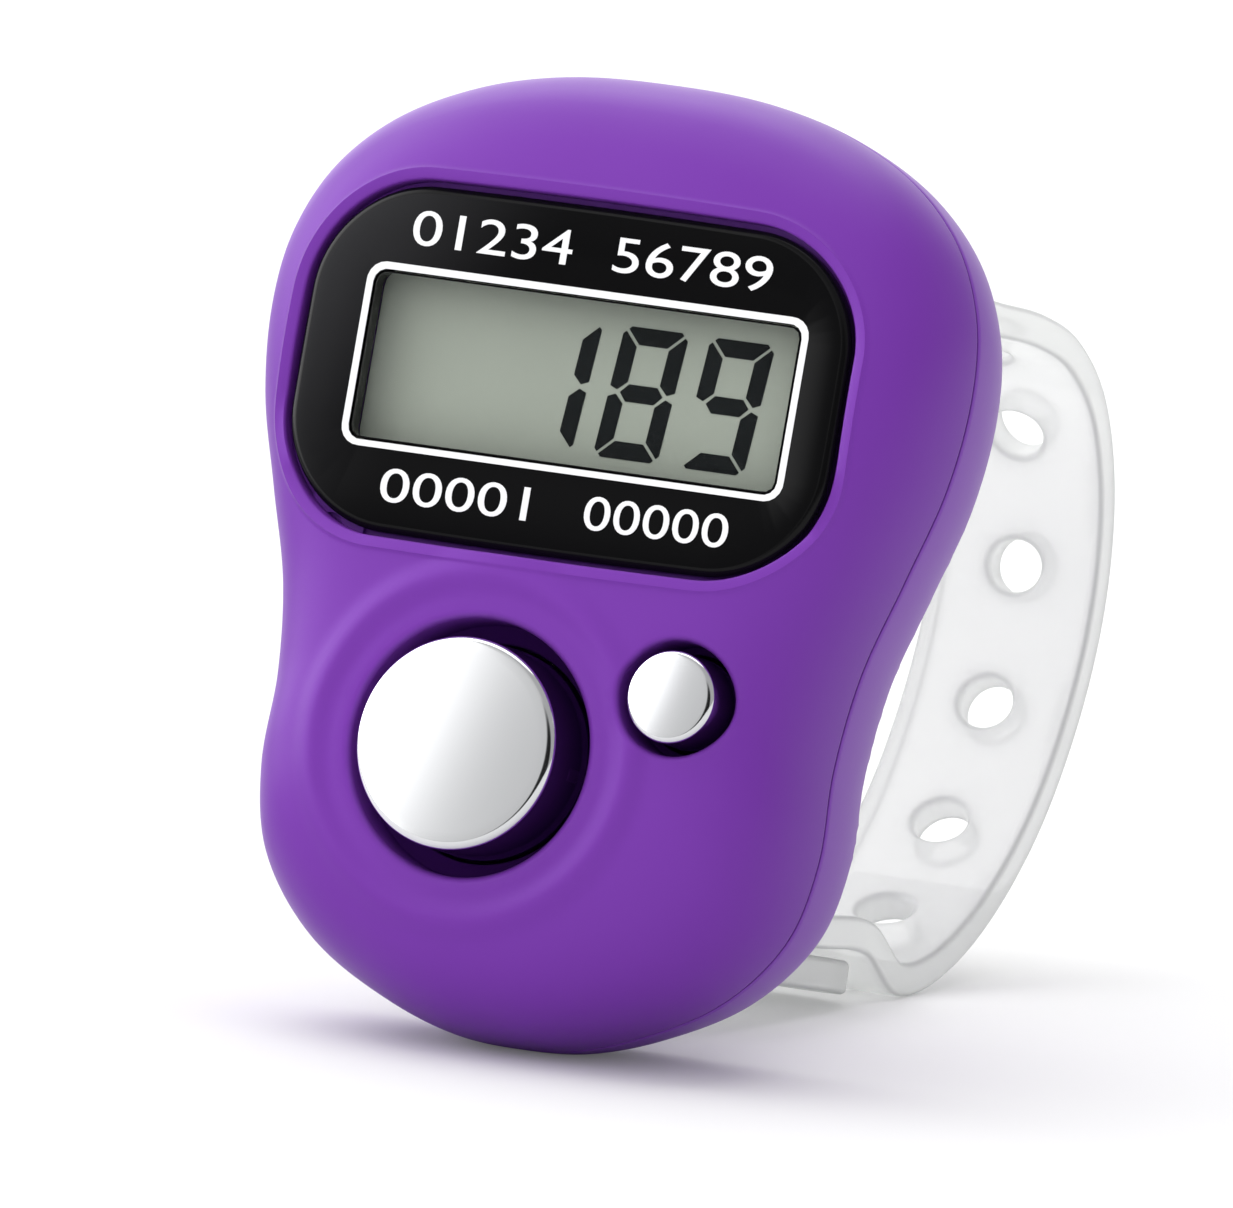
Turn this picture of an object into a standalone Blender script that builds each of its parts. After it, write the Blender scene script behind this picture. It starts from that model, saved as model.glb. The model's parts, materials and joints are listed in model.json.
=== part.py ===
# Digital finger tally counter: a two-part case with a display, two buttons, a coin-cell door
# and a perforated strap in two halves that makes the finger loop.
#
# The pieces are modelled in the case's own frame: X to the right, Y to the back, Z up, with the
# origin in the middle of the case on the seam plane between the front and the rear half.
# A forward distance below is measured from the seam plane towards the viewer, a rear distance
# away from it. At the end the whole case frame leans back until the case and the strap stand level.

from math import cos, pi, radians, sin, sqrt

import bmesh
import bpy
from mathutils import Matrix, Vector

MM = 0.001

# Fits
seat_gap = 0.1 * MM
board_gap = 0.05 * MM
button_clearance = 0.15 * MM
screw_clearance = 0.1 * MM
cut_overrun = 1.0 * MM
weld_distance = 0.001 * MM
screw_merge = 0.01 * MM

# Case
case_width = 30.3 * MM
case_height = 40.0 * MM
front_depth = 6.4 * MM
front_crown = 0.6 * MM
rear_depth = 5.8 * MM
case_wall = 1.4 * MM
seam_gap = 0.1 * MM
foot_flat = 0.12 * MM
front_power = 10
rear_flat_share = 0.87
# The right half of the outline from the top down, as shares of the half width and half height
outline_shares = [
    (0.000, 0.985), (0.290, 0.973), (0.525, 0.929), (0.745, 0.844), (0.890, 0.734),
    (0.975, 0.595), (1.000, 0.450), (0.975, 0.250), (0.899, 0.050), (0.820, -0.150),
    (0.787, -0.350), (0.789, -0.550), (0.738, -0.710), (0.587, -0.850), (0.362, -0.945),
    (0.165, -0.992), (0.000, -1.000),
]
front_ring_shares = [1.0, 0.997, 0.985, 0.96, 0.92, 0.86, 0.77, 0.60, 0.32]
front_inner_ring_shares = [1.0, 0.98, 0.92, 0.80, 0.50]
rear_angle_shares = [0.0, 0.17, 0.36, 0.58, 0.80, 1.0]
rear_inner_angle_shares = [0.0, 0.35, 0.65, 0.85, 1.0]

# Display panel and its recess
panel_width_share = 0.7789
panel_width = case_width * panel_width_share
panel_height = 14.0 * MM
panel_radius = 4.6 * MM
panel_bulge_share = 0.016
panel_centre_share = 0.335
panel_centre_height = case_height / 2 * panel_centre_share
panel_face = 6.05 * MM
panel_thickness = 0.8 * MM
panel_edge = 0.2 * MM
recess_clearance = 0.25 * MM
shelf_thickness = 0.9 * MM
shelf_margin = 0.8 * MM
shelf_root = 0.15 * MM
lip_offset = 0.75 * MM
lip_width = 0.6 * MM
lip_height = 0.14 * MM

# Window pane
window_side_margin = 2.25 * MM
window_width = panel_width - 2 * window_side_margin
window_height = 7.0 * MM
window_radius = 0.55 * MM
window_shift = 0.3 * MM
pane_clearance = 0.05 * MM
pane_flange = 0.7 * MM
pane_flange_thickness = 0.4 * MM
sight_margin = 0.3 * MM

# Display
lcd_side_margin = 0.95 * MM
lcd_width = window_width + 2 * lcd_side_margin
lcd_height = 9.6 * MM
lcd_ledge = 1.75 * MM
lcd_glass = 0.5 * MM
lcd_layer_gap = 0.05 * MM
reflector_thickness = 0.15 * MM
reflector_inset = 0.2 * MM
zebra_height = 1.2 * MM
zebra_inset = 0.4 * MM
foam_height = 1.1 * MM
strip_end_margin = 1.2 * MM
strip_length = lcd_width - 2 * strip_end_margin

# Circuit board
board_front = 0.7 * MM
board_thickness = 1.0 * MM
board_width_share = 0.7195
board_width = case_width * board_width_share
board_top = 11.3 * MM
board_bottom = 12.0 * MM
board_shares = [
    (0.93, 1.0), (1.0, 0.93), (1.0, -0.2), (0.80, -0.66), (0.72, -0.83), (0.42, -0.83), (0.40, -1.0),
]
blob_radius = 3.0 * MM
blob_height = 1.2 * MM
blob_rise_shares = [(0.0, 1.0), (0.45, 0.93), (0.78, 0.66), (0.95, 0.30), (1.0, 0.0)]
capacitor_length = 2.0 * MM
capacitor_thickness = 0.9 * MM
capacitor_width = 1.25 * MM
capacitor_shift = 3.0 * MM
capacitor_drop = 9.3 * MM
resistor_length = 1.6 * MM
resistor_thickness = 0.5 * MM
resistor_width = 0.8 * MM
resistor_shift = 1.2 * MM
resistor_drop = 9.6 * MM
chip_edge = 0.1 * MM

# Buttons
well_floor = 4.6 * MM
count_floor_thickness = 0.8 * MM
reset_floor_thickness = 0.7 * MM
well_wall = 0.9 * MM
flange_thickness = 0.8 * MM
count_shift_share = 0.0416
count_shift = case_width * count_shift_share
count_drop = 8.65 * MM
count_radius_share = 0.1439
count_radius = case_width * count_radius_share
count_well_margin = 0.9 * MM
count_well_radius = count_radius + count_well_margin
count_flange_width = 0.7 * MM
count_flange_radius = count_radius + count_flange_width
count_face = 8.4 * MM
count_edge = 0.3 * MM
count_crown = 0.08 * MM
reset_shift_share = 0.2409
reset_shift = case_width * reset_shift_share
reset_drop = 5.52 * MM
reset_radius_share = 0.0627
reset_radius = case_width * reset_radius_share
reset_well_margin = 0.45 * MM
reset_well_radius = reset_radius + reset_well_margin
reset_flange_width = 0.45 * MM
reset_flange_radius = reset_radius + reset_flange_width
reset_face = 7.35 * MM
reset_edge = 0.22 * MM
reset_crown = 0.05 * MM
count_place = (-count_shift, -count_drop)
reset_place = (reset_shift, -reset_drop)
ring_margin = 2.8 * MM
ring_radius = count_radius + ring_margin
ring_width = 1.9 * MM
ring_height = 0.2 * MM
bead_root = 0.5 * MM
bead_rise_shares = [(0.0, -0.7), (0.22, 0.5), (0.5, 1.0), (0.78, 0.5), (1.0, -0.7)]

# Rubber domes and carbon pills, as shares of the flange radius
dome_wall = 0.4 * MM
dome_foot = 0.25 * MM
dome_top_share = 0.56
dome_base_share = 0.78
dome_foot_share = 0.92
pill_share = 0.34
pill_thickness = 0.55 * MM

# Button cell and its compartment
cell_radius = 5.8 * MM
cell_thickness = 3.05 * MM
cell_edge = 0.35 * MM
cell_rear = 3.9 * MM
cell_height = 1.0 * MM
cell_cap_share = 0.86
cell_cap_rise = 0.25 * MM
cell_clearance = 0.2 * MM
sleeve_wall = 1.9 * MM
sleeve_front = 1.05 * MM

# Battery door
door_plug_margin = 0.25 * MM
door_plug_radius = cell_radius + door_plug_margin
door_flange = 0.95 * MM
door_radius = door_plug_radius + door_flange
door_rim = 0.75 * MM
door_sink = 0.05 * MM
door_lug_step = 0.7 * MM
door_lug_reach = door_plug_radius + door_lug_step
door_lug_width = 2.4 * MM
door_lug_thickness = 0.4 * MM
door_edge = 0.15 * MM
door_clearance = 0.1 * MM
ledge_thickness = 0.4 * MM
ledge_margin = 0.2 * MM
ledge_radius = door_plug_radius + ledge_margin
notch_clearance = 0.25 * MM
undercut_radius = door_lug_reach + notch_clearance
coin_slot_share = 0.643
coin_slot_length = 2 * door_radius * coin_slot_share
coin_slot_width = 1.3 * MM
coin_slot_depth = 0.4 * MM
door_turn = radians(35)

# Battery contacts
contact_thickness = 0.15 * MM
contact_width = 2.0 * MM
contact_foot_share = 0.6
contact_top = 3.2 * MM
contact_slot_margin = 0.4 * MM
leaf_length = 7.4 * MM
leaf_rise = 0.25 * MM
leaf_shares = [(-0.5, 0.0), (-0.1, 0.0), (0.12, 1.0), (0.5, 1.0)]

# Screws
upper_screw_side_share = 0.2838
lower_screw_side_share = 0.2376
upper_screw_side = case_width * upper_screw_side_share
lower_screw_side = case_width * lower_screw_side_share
case_boss_radius = 2.0 * MM
upper_boss_margin = 0.4 * MM
upper_screw_rise = panel_centre_height + lcd_height / 2 + upper_boss_margin + case_boss_radius
lower_screw_drop = 12.6 * MM
case_screw_places = [
    (-upper_screw_side, upper_screw_rise), (upper_screw_side, upper_screw_rise),
    (-lower_screw_side, -lower_screw_drop), (lower_screw_side, -lower_screw_drop),
]
case_screw_head_radius = 1.5 * MM
case_screw_head = 0.9 * MM
case_screw_radius = 0.75 * MM
case_screw_seat = 2.0 * MM
case_screw_reach = 3.3 * MM
board_screw_side_share = 0.3168
board_screw_side = case_width * board_screw_side_share
board_screw_drop = 0.4 * MM
third_screw_side_share = 0.1782
third_screw_side = case_width * third_screw_side_share
third_screw_drop = 9.4 * MM
board_screw_places = [
    (-board_screw_side, -board_screw_drop), (board_screw_side, -board_screw_drop),
    (third_screw_side, -third_screw_drop),
]
board_post_radius = 1.5 * MM
board_screw_head_radius = 1.2 * MM
board_screw_head = 0.6 * MM
board_screw_radius = 0.6 * MM
board_screw_reach = 3.0 * MM
screw_tip_share = 0.45

# Strap
strap_width_share = 0.2508
strap_width = case_width * strap_width_share
strap_thickness = 1.4 * MM
strap_edge = 0.3 * MM
strap_hole_radius = 1.12 * MM
strap_hole_pitch = 6.15 * MM
strap_hole_margin = 9.0 * MM
strap_tip_margin = 3.2 * MM
head_margin = 0.8 * MM
head_width = strap_width + 2 * head_margin
head_gap = 0.3 * MM
head_length = 1.5 * MM
head_shoulder = 0.08 * MM
slot_side_clearance = 0.35 * MM
slot_face_clearance = 0.15 * MM
upper_slot_margin = 5.7 * MM
lower_slot_margin = 5.8 * MM
upper_slot_height = case_height / 2 - upper_slot_margin
lower_slot_height = case_height / 2 - lower_slot_margin
loop_reach = 41.3 * MM
lap_gap = 0.3 * MM
# Strap middle lines: shares of the loop's reach behind the T heads and of the height between slots
long_shares = [
    (0.0, 1.0), (0.38, 1.003), (0.62, 1.007), (0.741, 1.012), (0.830, 0.996), (0.915, 0.935),
    (0.975, 0.820), (1.0, 0.670), (0.985, 0.500), (0.920, 0.300), (0.790, 0.118), (0.659, 0.046),
]
short_shares = [(0.0, 0.0), (0.2875, 0.0), (0.4434, 0.016), (0.583, 0.028)]
lap_shares = [(0.568, 0.028), (0.4434, 0.016), (0.2875, 0.0), (0.2193, 0.0)]
stud_share = 0.53
stud_neck_clearance = 0.2 * MM
stud_head_radius = 1.75 * MM
stud_head_height = 0.9 * MM
stud_root_share = 0.5
tip_taper_share = 0.62
tip_length = 3.6 * MM
tip_flat = 0.6 * MM

# Smoothness
outline_points = 52
round_steps = 32
small_steps = 10
corner_steps = 5
side_steps = 3
hole_steps = 12
path_steps = 12

for old_object in list(bpy.data.objects):
    bpy.data.objects.remove(old_object, do_unlink=True)

parts = bpy.data.collections.new("digital_tally_counter")
cutters = bpy.data.collections.new("cutters")
bpy.context.scene.collection.children.link(parts)
bpy.context.scene.collection.children.link(cutters)

case_frame = bpy.data.objects.new("case_frame", None)
parts.objects.link(case_frame)


# Materials

def linear(channel):
    value = channel / 255
    return value / 12.92 if value <= 0.04045 else ((value + 0.055) / 1.055) ** 2.4


def material(name, colour, roughness, metallic=0.0, alpha=1.0):
    made = bpy.data.materials.new(name)
    made.use_nodes = True
    shader = made.node_tree.nodes["Principled BSDF"]
    shader.inputs["Base Color"].default_value = (*[linear(c) for c in colour], 1.0)
    shader.inputs["Roughness"].default_value = roughness
    shader.inputs["Metallic"].default_value = metallic
    shader.inputs["Alpha"].default_value = alpha
    made.diffuse_color = (*[linear(c) for c in colour], alpha)
    return made


# Building blocks

def add_object(name, mesh, place=(0, 0, 0), turn=(0, 0, 0), cutter=False):
    """Links a mesh object under the case frame, among the parts or the cutters."""
    made = bpy.data.objects.new(name, mesh)
    (cutters if cutter else parts).objects.link(made)
    made.parent = case_frame
    made.location = place
    made.rotation_euler = turn
    if cutter:
        made.hide_render = True
        made.display_type = "WIRE"
    return made


def mesh_from(name, build):
    """A mesh that the given function fills through bmesh."""
    mesh = bpy.data.meshes.new(name)
    work = bmesh.new()
    build(work)
    bmesh.ops.recalc_face_normals(work, faces=work.faces)
    work.to_mesh(mesh)
    work.free()
    return mesh


def box(name, size, place, turn=(0, 0, 0), cutter=False):
    """A box whose scale is applied to its mesh."""
    def build(work):
        bmesh.ops.create_cube(work, size=1)
        bmesh.ops.scale(work, vec=size, verts=work.verts)
    return add_object(name, mesh_from(name, build), place, turn, cutter)


def rod(name, radius, front, rear, place, steps=small_steps, cutter=False):
    """A cylinder along the case's depth between two depths, at a place (x, z)."""
    def build(work):
        bmesh.ops.create_cone(
            work, cap_ends=True, segments=steps, radius1=radius, radius2=radius, depth=rear - front
        )
    centre = (place[0], (front + rear) / 2, place[1])
    return add_object(name, mesh_from(name, build), centre, (pi / 2, 0, 0), cutter)


def turned(name, profile, place, steps=round_steps, forward=True, cutter=False):
    """A profile of (radius, height) turned about the case's depth; heights run forward or to the rear."""
    mesh = bpy.data.meshes.new(name)
    vertices = [(radius, 0, height) for radius, height in profile]
    mesh.from_pydata(vertices, [(i, i + 1) for i in range(len(vertices) - 1)], [])
    made = add_object(name, mesh, (place[0], 0, place[1]), (pi / 2 if forward else -pi / 2, 0, 0), cutter)
    screw = made.modifiers.new("turn", "SCREW")
    screw.steps = steps
    screw.render_steps = steps
    screw.use_merge_vertices = True
    screw.merge_threshold = screw_merge
    screw.use_smooth_shade = True
    return made


def plate(name, outlines, front, rear, edge=0.0, cutter=False):
    """A flat piece between two depths from closed outlines of (x, z); later outlines are its holes."""
    curve = bpy.data.curves.new(name, "CURVE")
    curve.dimensions = "2D"
    curve.fill_mode = "BOTH"
    curve.extrude = (rear - front) / 2 - edge
    curve.bevel_depth = edge
    curve.bevel_resolution = 0
    curve.offset = -edge
    for outline in outlines:
        spline = curve.splines.new("POLY")
        spline.points.add(len(outline) - 1)
        spline.use_cyclic_u = True
        for point, (x, z) in zip(spline.points, outline):
            point.co = (x, z, 0, 1)
    drawn = bpy.data.objects.new(name + "_outline", curve)
    bpy.context.scene.collection.objects.link(drawn)
    bpy.context.view_layer.update()
    mesh = bpy.data.meshes.new_from_object(drawn.evaluated_get(bpy.context.evaluated_depsgraph_get()))
    mesh.name = name
    bpy.data.objects.remove(drawn, do_unlink=True)
    bpy.data.curves.remove(curve)
    work = bmesh.new()
    work.from_mesh(mesh)
    bmesh.ops.remove_doubles(work, verts=work.verts, dist=weld_distance)
    bmesh.ops.recalc_face_normals(work, faces=work.faces)
    work.to_mesh(mesh)
    work.free()
    return add_object(name, mesh, (0, (front + rear) / 2, 0), (pi / 2, 0, 0), cutter)


def combine(target, tool, operation):
    """Joins a tool to a piece or cuts it away, and keeps the modifier on the piece."""
    boolean = target.modifiers.new(tool.name, "BOOLEAN")
    boolean.operation = operation
    boolean.solver = "EXACT"
    boolean.object = tool


def join(target, *tools):
    for tool in tools:
        combine(target, tool, "UNION")


def cut(target, *tools):
    for tool in tools:
        combine(target, tool, "DIFFERENCE")


def finish(made, look, smooth_angle=radians(32)):
    """Gives a piece its material and shades its round faces smooth."""
    made.data.materials.clear()
    made.data.materials.append(look)
    if len(made.data.polygons):
        made.data.shade_smooth()
        made.data.set_sharp_from_angle(angle=smooth_angle)
    return made


# Curves and outlines

def smooth_line(points, steps, closed=False):
    """Points on a smooth line through the given points, with the same number of steps between each pair."""
    count = len(points)
    line = []
    for i in range(count if closed else count - 1):
        if closed:
            a, b, c, d = [Vector(points[(i + k) % count]) for k in (-1, 0, 1, 2)]
        else:
            b, c = Vector(points[i]), Vector(points[i + 1])
            a = Vector(points[i - 1]) if i > 0 else b * 2 - c
            d = Vector(points[i + 2]) if i + 2 < count else c * 2 - b
        long_way = max((c - b).length, weld_distance)
        slope_b = ((b - a) / max((b - a).length, weld_distance) + (c - b) / long_way) / 2 * long_way
        slope_c = ((c - b) / long_way + (d - c) / max((d - c).length, weld_distance)) / 2 * long_way
        for k in range(steps):
            t = k / steps
            line.append(
                b * (2 * t ** 3 - 3 * t ** 2 + 1) + slope_b * (t ** 3 - 2 * t ** 2 + t)
                + c * (3 * t ** 2 - 2 * t ** 3) + slope_c * (t ** 3 - t ** 2)
            )
    if not closed:
        line.append(Vector(points[-1]))
    return line


def spread(line, count, closed=False):
    """The given number of points, evenly spaced along a line."""
    ends = line + [line[0]] if closed else line
    reach = [0.0]
    for a, b in zip(ends, ends[1:]):
        reach.append(reach[-1] + (b - a).length)
    spaced = []
    at = 0
    for k in range(count):
        goal = reach[-1] * k / (count if closed else count - 1)
        while at < len(ends) - 2 and reach[at + 1] < goal:
            at += 1
        part = (goal - reach[at]) / (reach[at + 1] - reach[at])
        spaced.append(ends[at].lerp(ends[at + 1], part))
    return spaced


def rounded_outline(width, height, radius, bulge_share=0.0, centre=(0, 0)):
    """A rectangle with round corners whose sides bulge by a share of the half width."""
    half_width = width / 2
    half_height = height / 2
    points = []
    for quarter, (side, rise) in enumerate([(1, 1), (-1, 1), (-1, -1), (1, -1)]):
        for k in range(corner_steps + 1):
            angle = pi / 2 * (quarter + k / corner_steps)
            x = side * (half_width - radius) + radius * cos(angle)
            z = rise * (half_height - radius) + radius * sin(angle)
            points.append((x, z))
        following = [(-1, 1), (-1, -1), (1, -1), (1, 1)][quarter]
        angle = pi / 2 * (quarter + 1)
        end_x = following[0] * (half_width - radius) + radius * cos(angle)
        end_z = following[1] * (half_height - radius) + radius * sin(angle)
        start_x, start_z = points[-1]
        for k in range(1, side_steps if bulge_share else 1):
            part = k / side_steps
            points.append((start_x + (end_x - start_x) * part, start_z + (end_z - start_z) * part))
    bulge = bulge_share * half_width
    bent = []
    for x, z in points:
        out_x = x / half_width * bulge * (1 - (z / half_height) ** 2)
        out_z = z / half_height * bulge * (1 - (x / half_width) ** 2)
        bent.append((centre[0] + x + out_x, centre[1] + z + out_z))
    return bent


def circle_outline(radius, centre, steps):
    return [
        (centre[0] + radius * cos(2 * pi * k / steps), centre[1] + radius * sin(2 * pi * k / steps))
        for k in range(steps)
    ]


# Case shells

def case_outline(inset):
    """The case's outline, moved inwards along its normals."""
    right = [(x * case_width / 2, z * case_height / 2) for x, z in outline_shares]
    left = [(-x, z) for x, z in reversed(right[1:-1])]
    line = spread(smooth_line(right + left, path_steps, closed=True), outline_points, closed=True)
    moved = []
    for i, point in enumerate(line):
        along = line[(i + 1) % len(line)] - line[i - 1]
        inwards = Vector((along.y, -along.x)).normalized()
        moved.append(point + inwards * inset if inset else point)
    return moved


def front_height(share, depth):
    return depth * sqrt(max(0.0, 1 - share ** front_power)) + front_crown * (1 - share ** 2)


def rear_ring(angle_share):
    """Share of the outline and share of the depth on the rear half's rounded edge."""
    angle = pi / 2 * angle_share
    return rear_flat_share + (1 - rear_flat_share) * cos(angle), sin(angle)


def shell(name, outer_rings, inner_rings):
    """A hollow half case, lofted through rings of (outline, depth) outside and then inside."""
    def build(work):
        rows = [[work.verts.new((p.x, y, p.y)) for p in line] for line, y in outer_rings]
        inside = [[work.verts.new((p.x, y, p.y)) for p in line] for line, y in inner_rings]
        for lower, upper in zip(rows, rows[1:]):
            bridge(work, lower, upper)
        work.faces.new(rows[-1])
        for lower, upper in zip(inside, inside[1:]):
            bridge(work, lower, upper)
        work.faces.new(inside[-1])
        bridge(work, rows[0], inside[0])
    return add_object(name, mesh_from(name, build))


def bridge(work, first, second):
    count = len(first)
    for i in range(count):
        k = (i + 1) % count
        work.faces.new((first[i], first[k], second[k], second[i]))


def scaled(line, share):
    return [point * share for point in line]


outer_line = case_outline(0)
inner_line = case_outline(case_wall)
half_seam = seam_gap / 2
front_case = shell(
    "front_case",
    [(scaled(outer_line, f), -half_seam - front_height(f, front_depth)) for f in front_ring_shares],
    [
        (scaled(inner_line, f), -half_seam - front_height(f, front_depth - case_wall))
        for f in front_inner_ring_shares
    ],
)
rear_case = shell(
    "rear_case",
    [
        (scaled(outer_line, rear_ring(a)[0]), half_seam + rear_ring(a)[1] * (rear_depth - half_seam))
        for a in rear_angle_shares
    ],
    [
        (scaled(inner_line, rear_ring(a)[0]),
         half_seam + rear_ring(a)[1] * (rear_depth - half_seam - case_wall))
        for a in rear_inner_angle_shares
    ],
)
rear_wall_inside = rear_depth - case_wall

# Depths that follow from the stack of pieces, forward of the seam
panel_back = panel_face - panel_thickness
shelf_front = panel_back - seat_gap
shelf_back = shelf_front - shelf_thickness
pane_flange_back = shelf_front - pane_flange_thickness
rebate_floor = pane_flange_back - seat_gap
lcd_front = shelf_back - seat_gap
lcd_front_back = lcd_front - lcd_glass
lcd_rear_front = lcd_front_back - lcd_layer_gap
lcd_rear_back = lcd_rear_front - lcd_glass
reflector_front = lcd_rear_back - lcd_layer_gap
reflector_back = reflector_front - reflector_thickness
count_floor_back = well_floor - count_floor_thickness
reset_floor_back = well_floor - reset_floor_thickness
post_end = board_front + board_gap
board_rear = board_thickness - board_front

# Front case: display shelf, wells, bosses and posts, then the recess and the holes
recess_width = panel_width + 2 * recess_clearance
recess_height = panel_height + 2 * recess_clearance
recess_radius = panel_radius + recess_clearance
shelf_tool = plate(
    "shelf_tool",
    [rounded_outline(
        recess_width + 2 * shelf_margin, recess_height + 2 * shelf_margin, recess_radius + shelf_margin,
        0.0, (0, panel_centre_height),
    )],
    -shelf_front - shelf_root, -shelf_back, cutter=True,
)
join(front_case, shelf_tool)


def raised_bead(name, outline_at, width, height):
    """A soft raised bead on the case's crowned face; outline_at gives its line, grown by a length."""
    tops = []
    feet = []

    def build(work):
        for along, rise in bead_rise_shares:
            line = outline_at((along - 0.5) * width)
            tops.append([work.verts.new((x, -surface_depth(x, z) - rise * height, z)) for x, z in line])
            if along in (0.0, 1.0):
                feet.append([work.verts.new((x, bead_root - surface_depth(x, z), z)) for x, z in line])
        for lower, upper in zip(tops, tops[1:]):
            bridge(work, lower, upper)
        bridge(work, tops[0], feet[0])
        bridge(work, feet[0], feet[1])
        bridge(work, feet[1], tops[-1])
    return add_object(name, mesh_from(name, build), cutter=True)


def surface_depth(x, z):
    """How far forward the case's outer face lies at a place."""
    point = Vector((x, z))
    share = 0.0
    for a, b in zip(outer_line, outer_line[1:] + outer_line[:1]):
        side = b - a
        normal = Vector((side.y, -side.x))
        reach = normal.dot(a)
        if reach:
            share = max(share, normal.dot(point) / reach) if in_sector(point, a, b) else share
    return half_seam + front_height(min(share, 1.0), front_depth)


def in_sector(point, a, b):
    """Whether a point lies between the rays from the middle through two outline points."""
    first = a.x * point.y - a.y * point.x
    second = point.x * b.y - point.y * b.x
    return first * second >= 0 and point.dot(a + b) > 0


count_wall = count_well_radius + well_wall
reset_wall = reset_well_radius + well_wall
inside_reach = front_depth + front_crown - case_wall + shelf_root
join(
    front_case,
    rod("count_well_wall", count_wall, -inside_reach, -count_floor_back, count_place, round_steps, True),
    rod("reset_well_wall", reset_wall, -inside_reach, -reset_floor_back, reset_place, round_steps, True),
)
join(
    front_case,
    raised_bead("panel_lip", lambda grow: rounded_outline(
        panel_width + 2 * (lip_offset + grow), panel_height + 2 * (lip_offset + grow),
        panel_radius + lip_offset + grow, panel_bulge_share, (0, panel_centre_height),
    ), lip_width, lip_height),
    raised_bead(
        "count_ring", lambda grow: circle_outline(ring_radius + grow, count_place, round_steps),
        ring_width, ring_height,
    ),
)
boss_end = inside_reach - shelf_root
for number, place in enumerate(case_screw_places, 1):
    root = shelf_front if place[1] > 0 else boss_end
    boss = rod(f"case_boss_{number}", case_boss_radius, -root, -half_seam, place, small_steps, True)
    join(front_case, boss)
for number, place in enumerate(board_screw_places, 1):
    root = shelf_front if place[1] > -board_post_radius else boss_end
    post = rod(f"board_post_{number}", board_post_radius, -root, -post_end, place, small_steps, True)
    join(front_case, post)

front_top = front_depth + front_crown + cut_overrun
recess_tool = plate(
    "recess_tool",
    [rounded_outline(
        recess_width, recess_height, recess_radius, panel_bulge_share, (0, panel_centre_height),
    )],
    -front_top, -shelf_front, cutter=True,
)
pane_centre = (window_shift, panel_centre_height)
flange_width = window_width + 2 * pane_flange
flange_height = window_height + 2 * pane_flange
rebate_tool = plate(
    "rebate_tool",
    [rounded_outline(
        flange_width + 2 * seat_gap, flange_height + 2 * seat_gap, window_radius + pane_flange, 0.0,
        pane_centre
    )],
    -shelf_front - cut_overrun, -rebate_floor, cutter=True,
)
sight_tool = plate(
    "sight_tool",
    [rounded_outline(
        window_width + 2 * sight_margin, window_height + 2 * sight_margin, window_radius + sight_margin,
        0.0, pane_centre,
    )],
    -shelf_front, -shelf_back + cut_overrun, cutter=True,
)
cut(
    front_case, recess_tool, rebate_tool, sight_tool,
    rod("count_well", count_well_radius, -front_top, -well_floor, count_place, round_steps, True),
    rod("count_hole", count_radius + button_clearance, -front_top, 0, count_place, round_steps, True),
    rod("reset_well", reset_well_radius, -front_top, -well_floor, reset_place, round_steps, True),
    rod("reset_hole", reset_radius + button_clearance, -front_top, 0, reset_place, round_steps, True),
)
for number, place in enumerate(case_screw_places, 1):
    pilot = case_screw_radius + screw_clearance
    reach = case_screw_reach + seat_gap
    cut(front_case, rod(f"case_pilot_{number}", pilot, -reach, cut_overrun, place, small_steps, True))
for number, place in enumerate(board_screw_places, 1):
    pilot = board_screw_radius + screw_clearance
    reach = board_screw_reach + seat_gap
    cut(front_case, rod(f"board_pilot_{number}", pilot, -reach, cut_overrun, place, small_steps, True))

# Display panel and window pane
bezel_panel = plate(
    "bezel_panel",
    [rounded_outline(panel_width, panel_height, panel_radius, panel_bulge_share, (0, panel_centre_height))],
    -panel_face, -panel_back, panel_edge,
)
cut(bezel_panel, plate(
    "window_tool", [rounded_outline(window_width, window_height, window_radius, 0.0, pane_centre)],
    -panel_face - cut_overrun, -panel_back + cut_overrun, cutter=True,
))
window_pane = plate(
    "window_pane",
    [rounded_outline(flange_width, flange_height, window_radius + pane_flange, 0.0, pane_centre)],
    -shelf_front, -pane_flange_back,
)
join(window_pane, plate(
    "pane_plug",
    [rounded_outline(
        window_width - 2 * pane_clearance, window_height - 2 * pane_clearance, window_radius, 0.0, pane_centre
    )],
    -panel_face + pane_clearance, -pane_flange_back - pane_flange_thickness / 2, cutter=True,
))

# Display glasses, reflector and the two strips behind them
lcd_centre = panel_centre_height
lcd_bottom = lcd_centre - lcd_height / 2
lcd_rear_height = lcd_height - lcd_ledge
lcd_rear_centre = lcd_centre + lcd_ledge / 2


def slab(name, width, height, front, rear, x, z):
    """A box between two depths at a place."""
    return box(name, (width, rear - front, height), (x, (front + rear) / 2, z))


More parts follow.
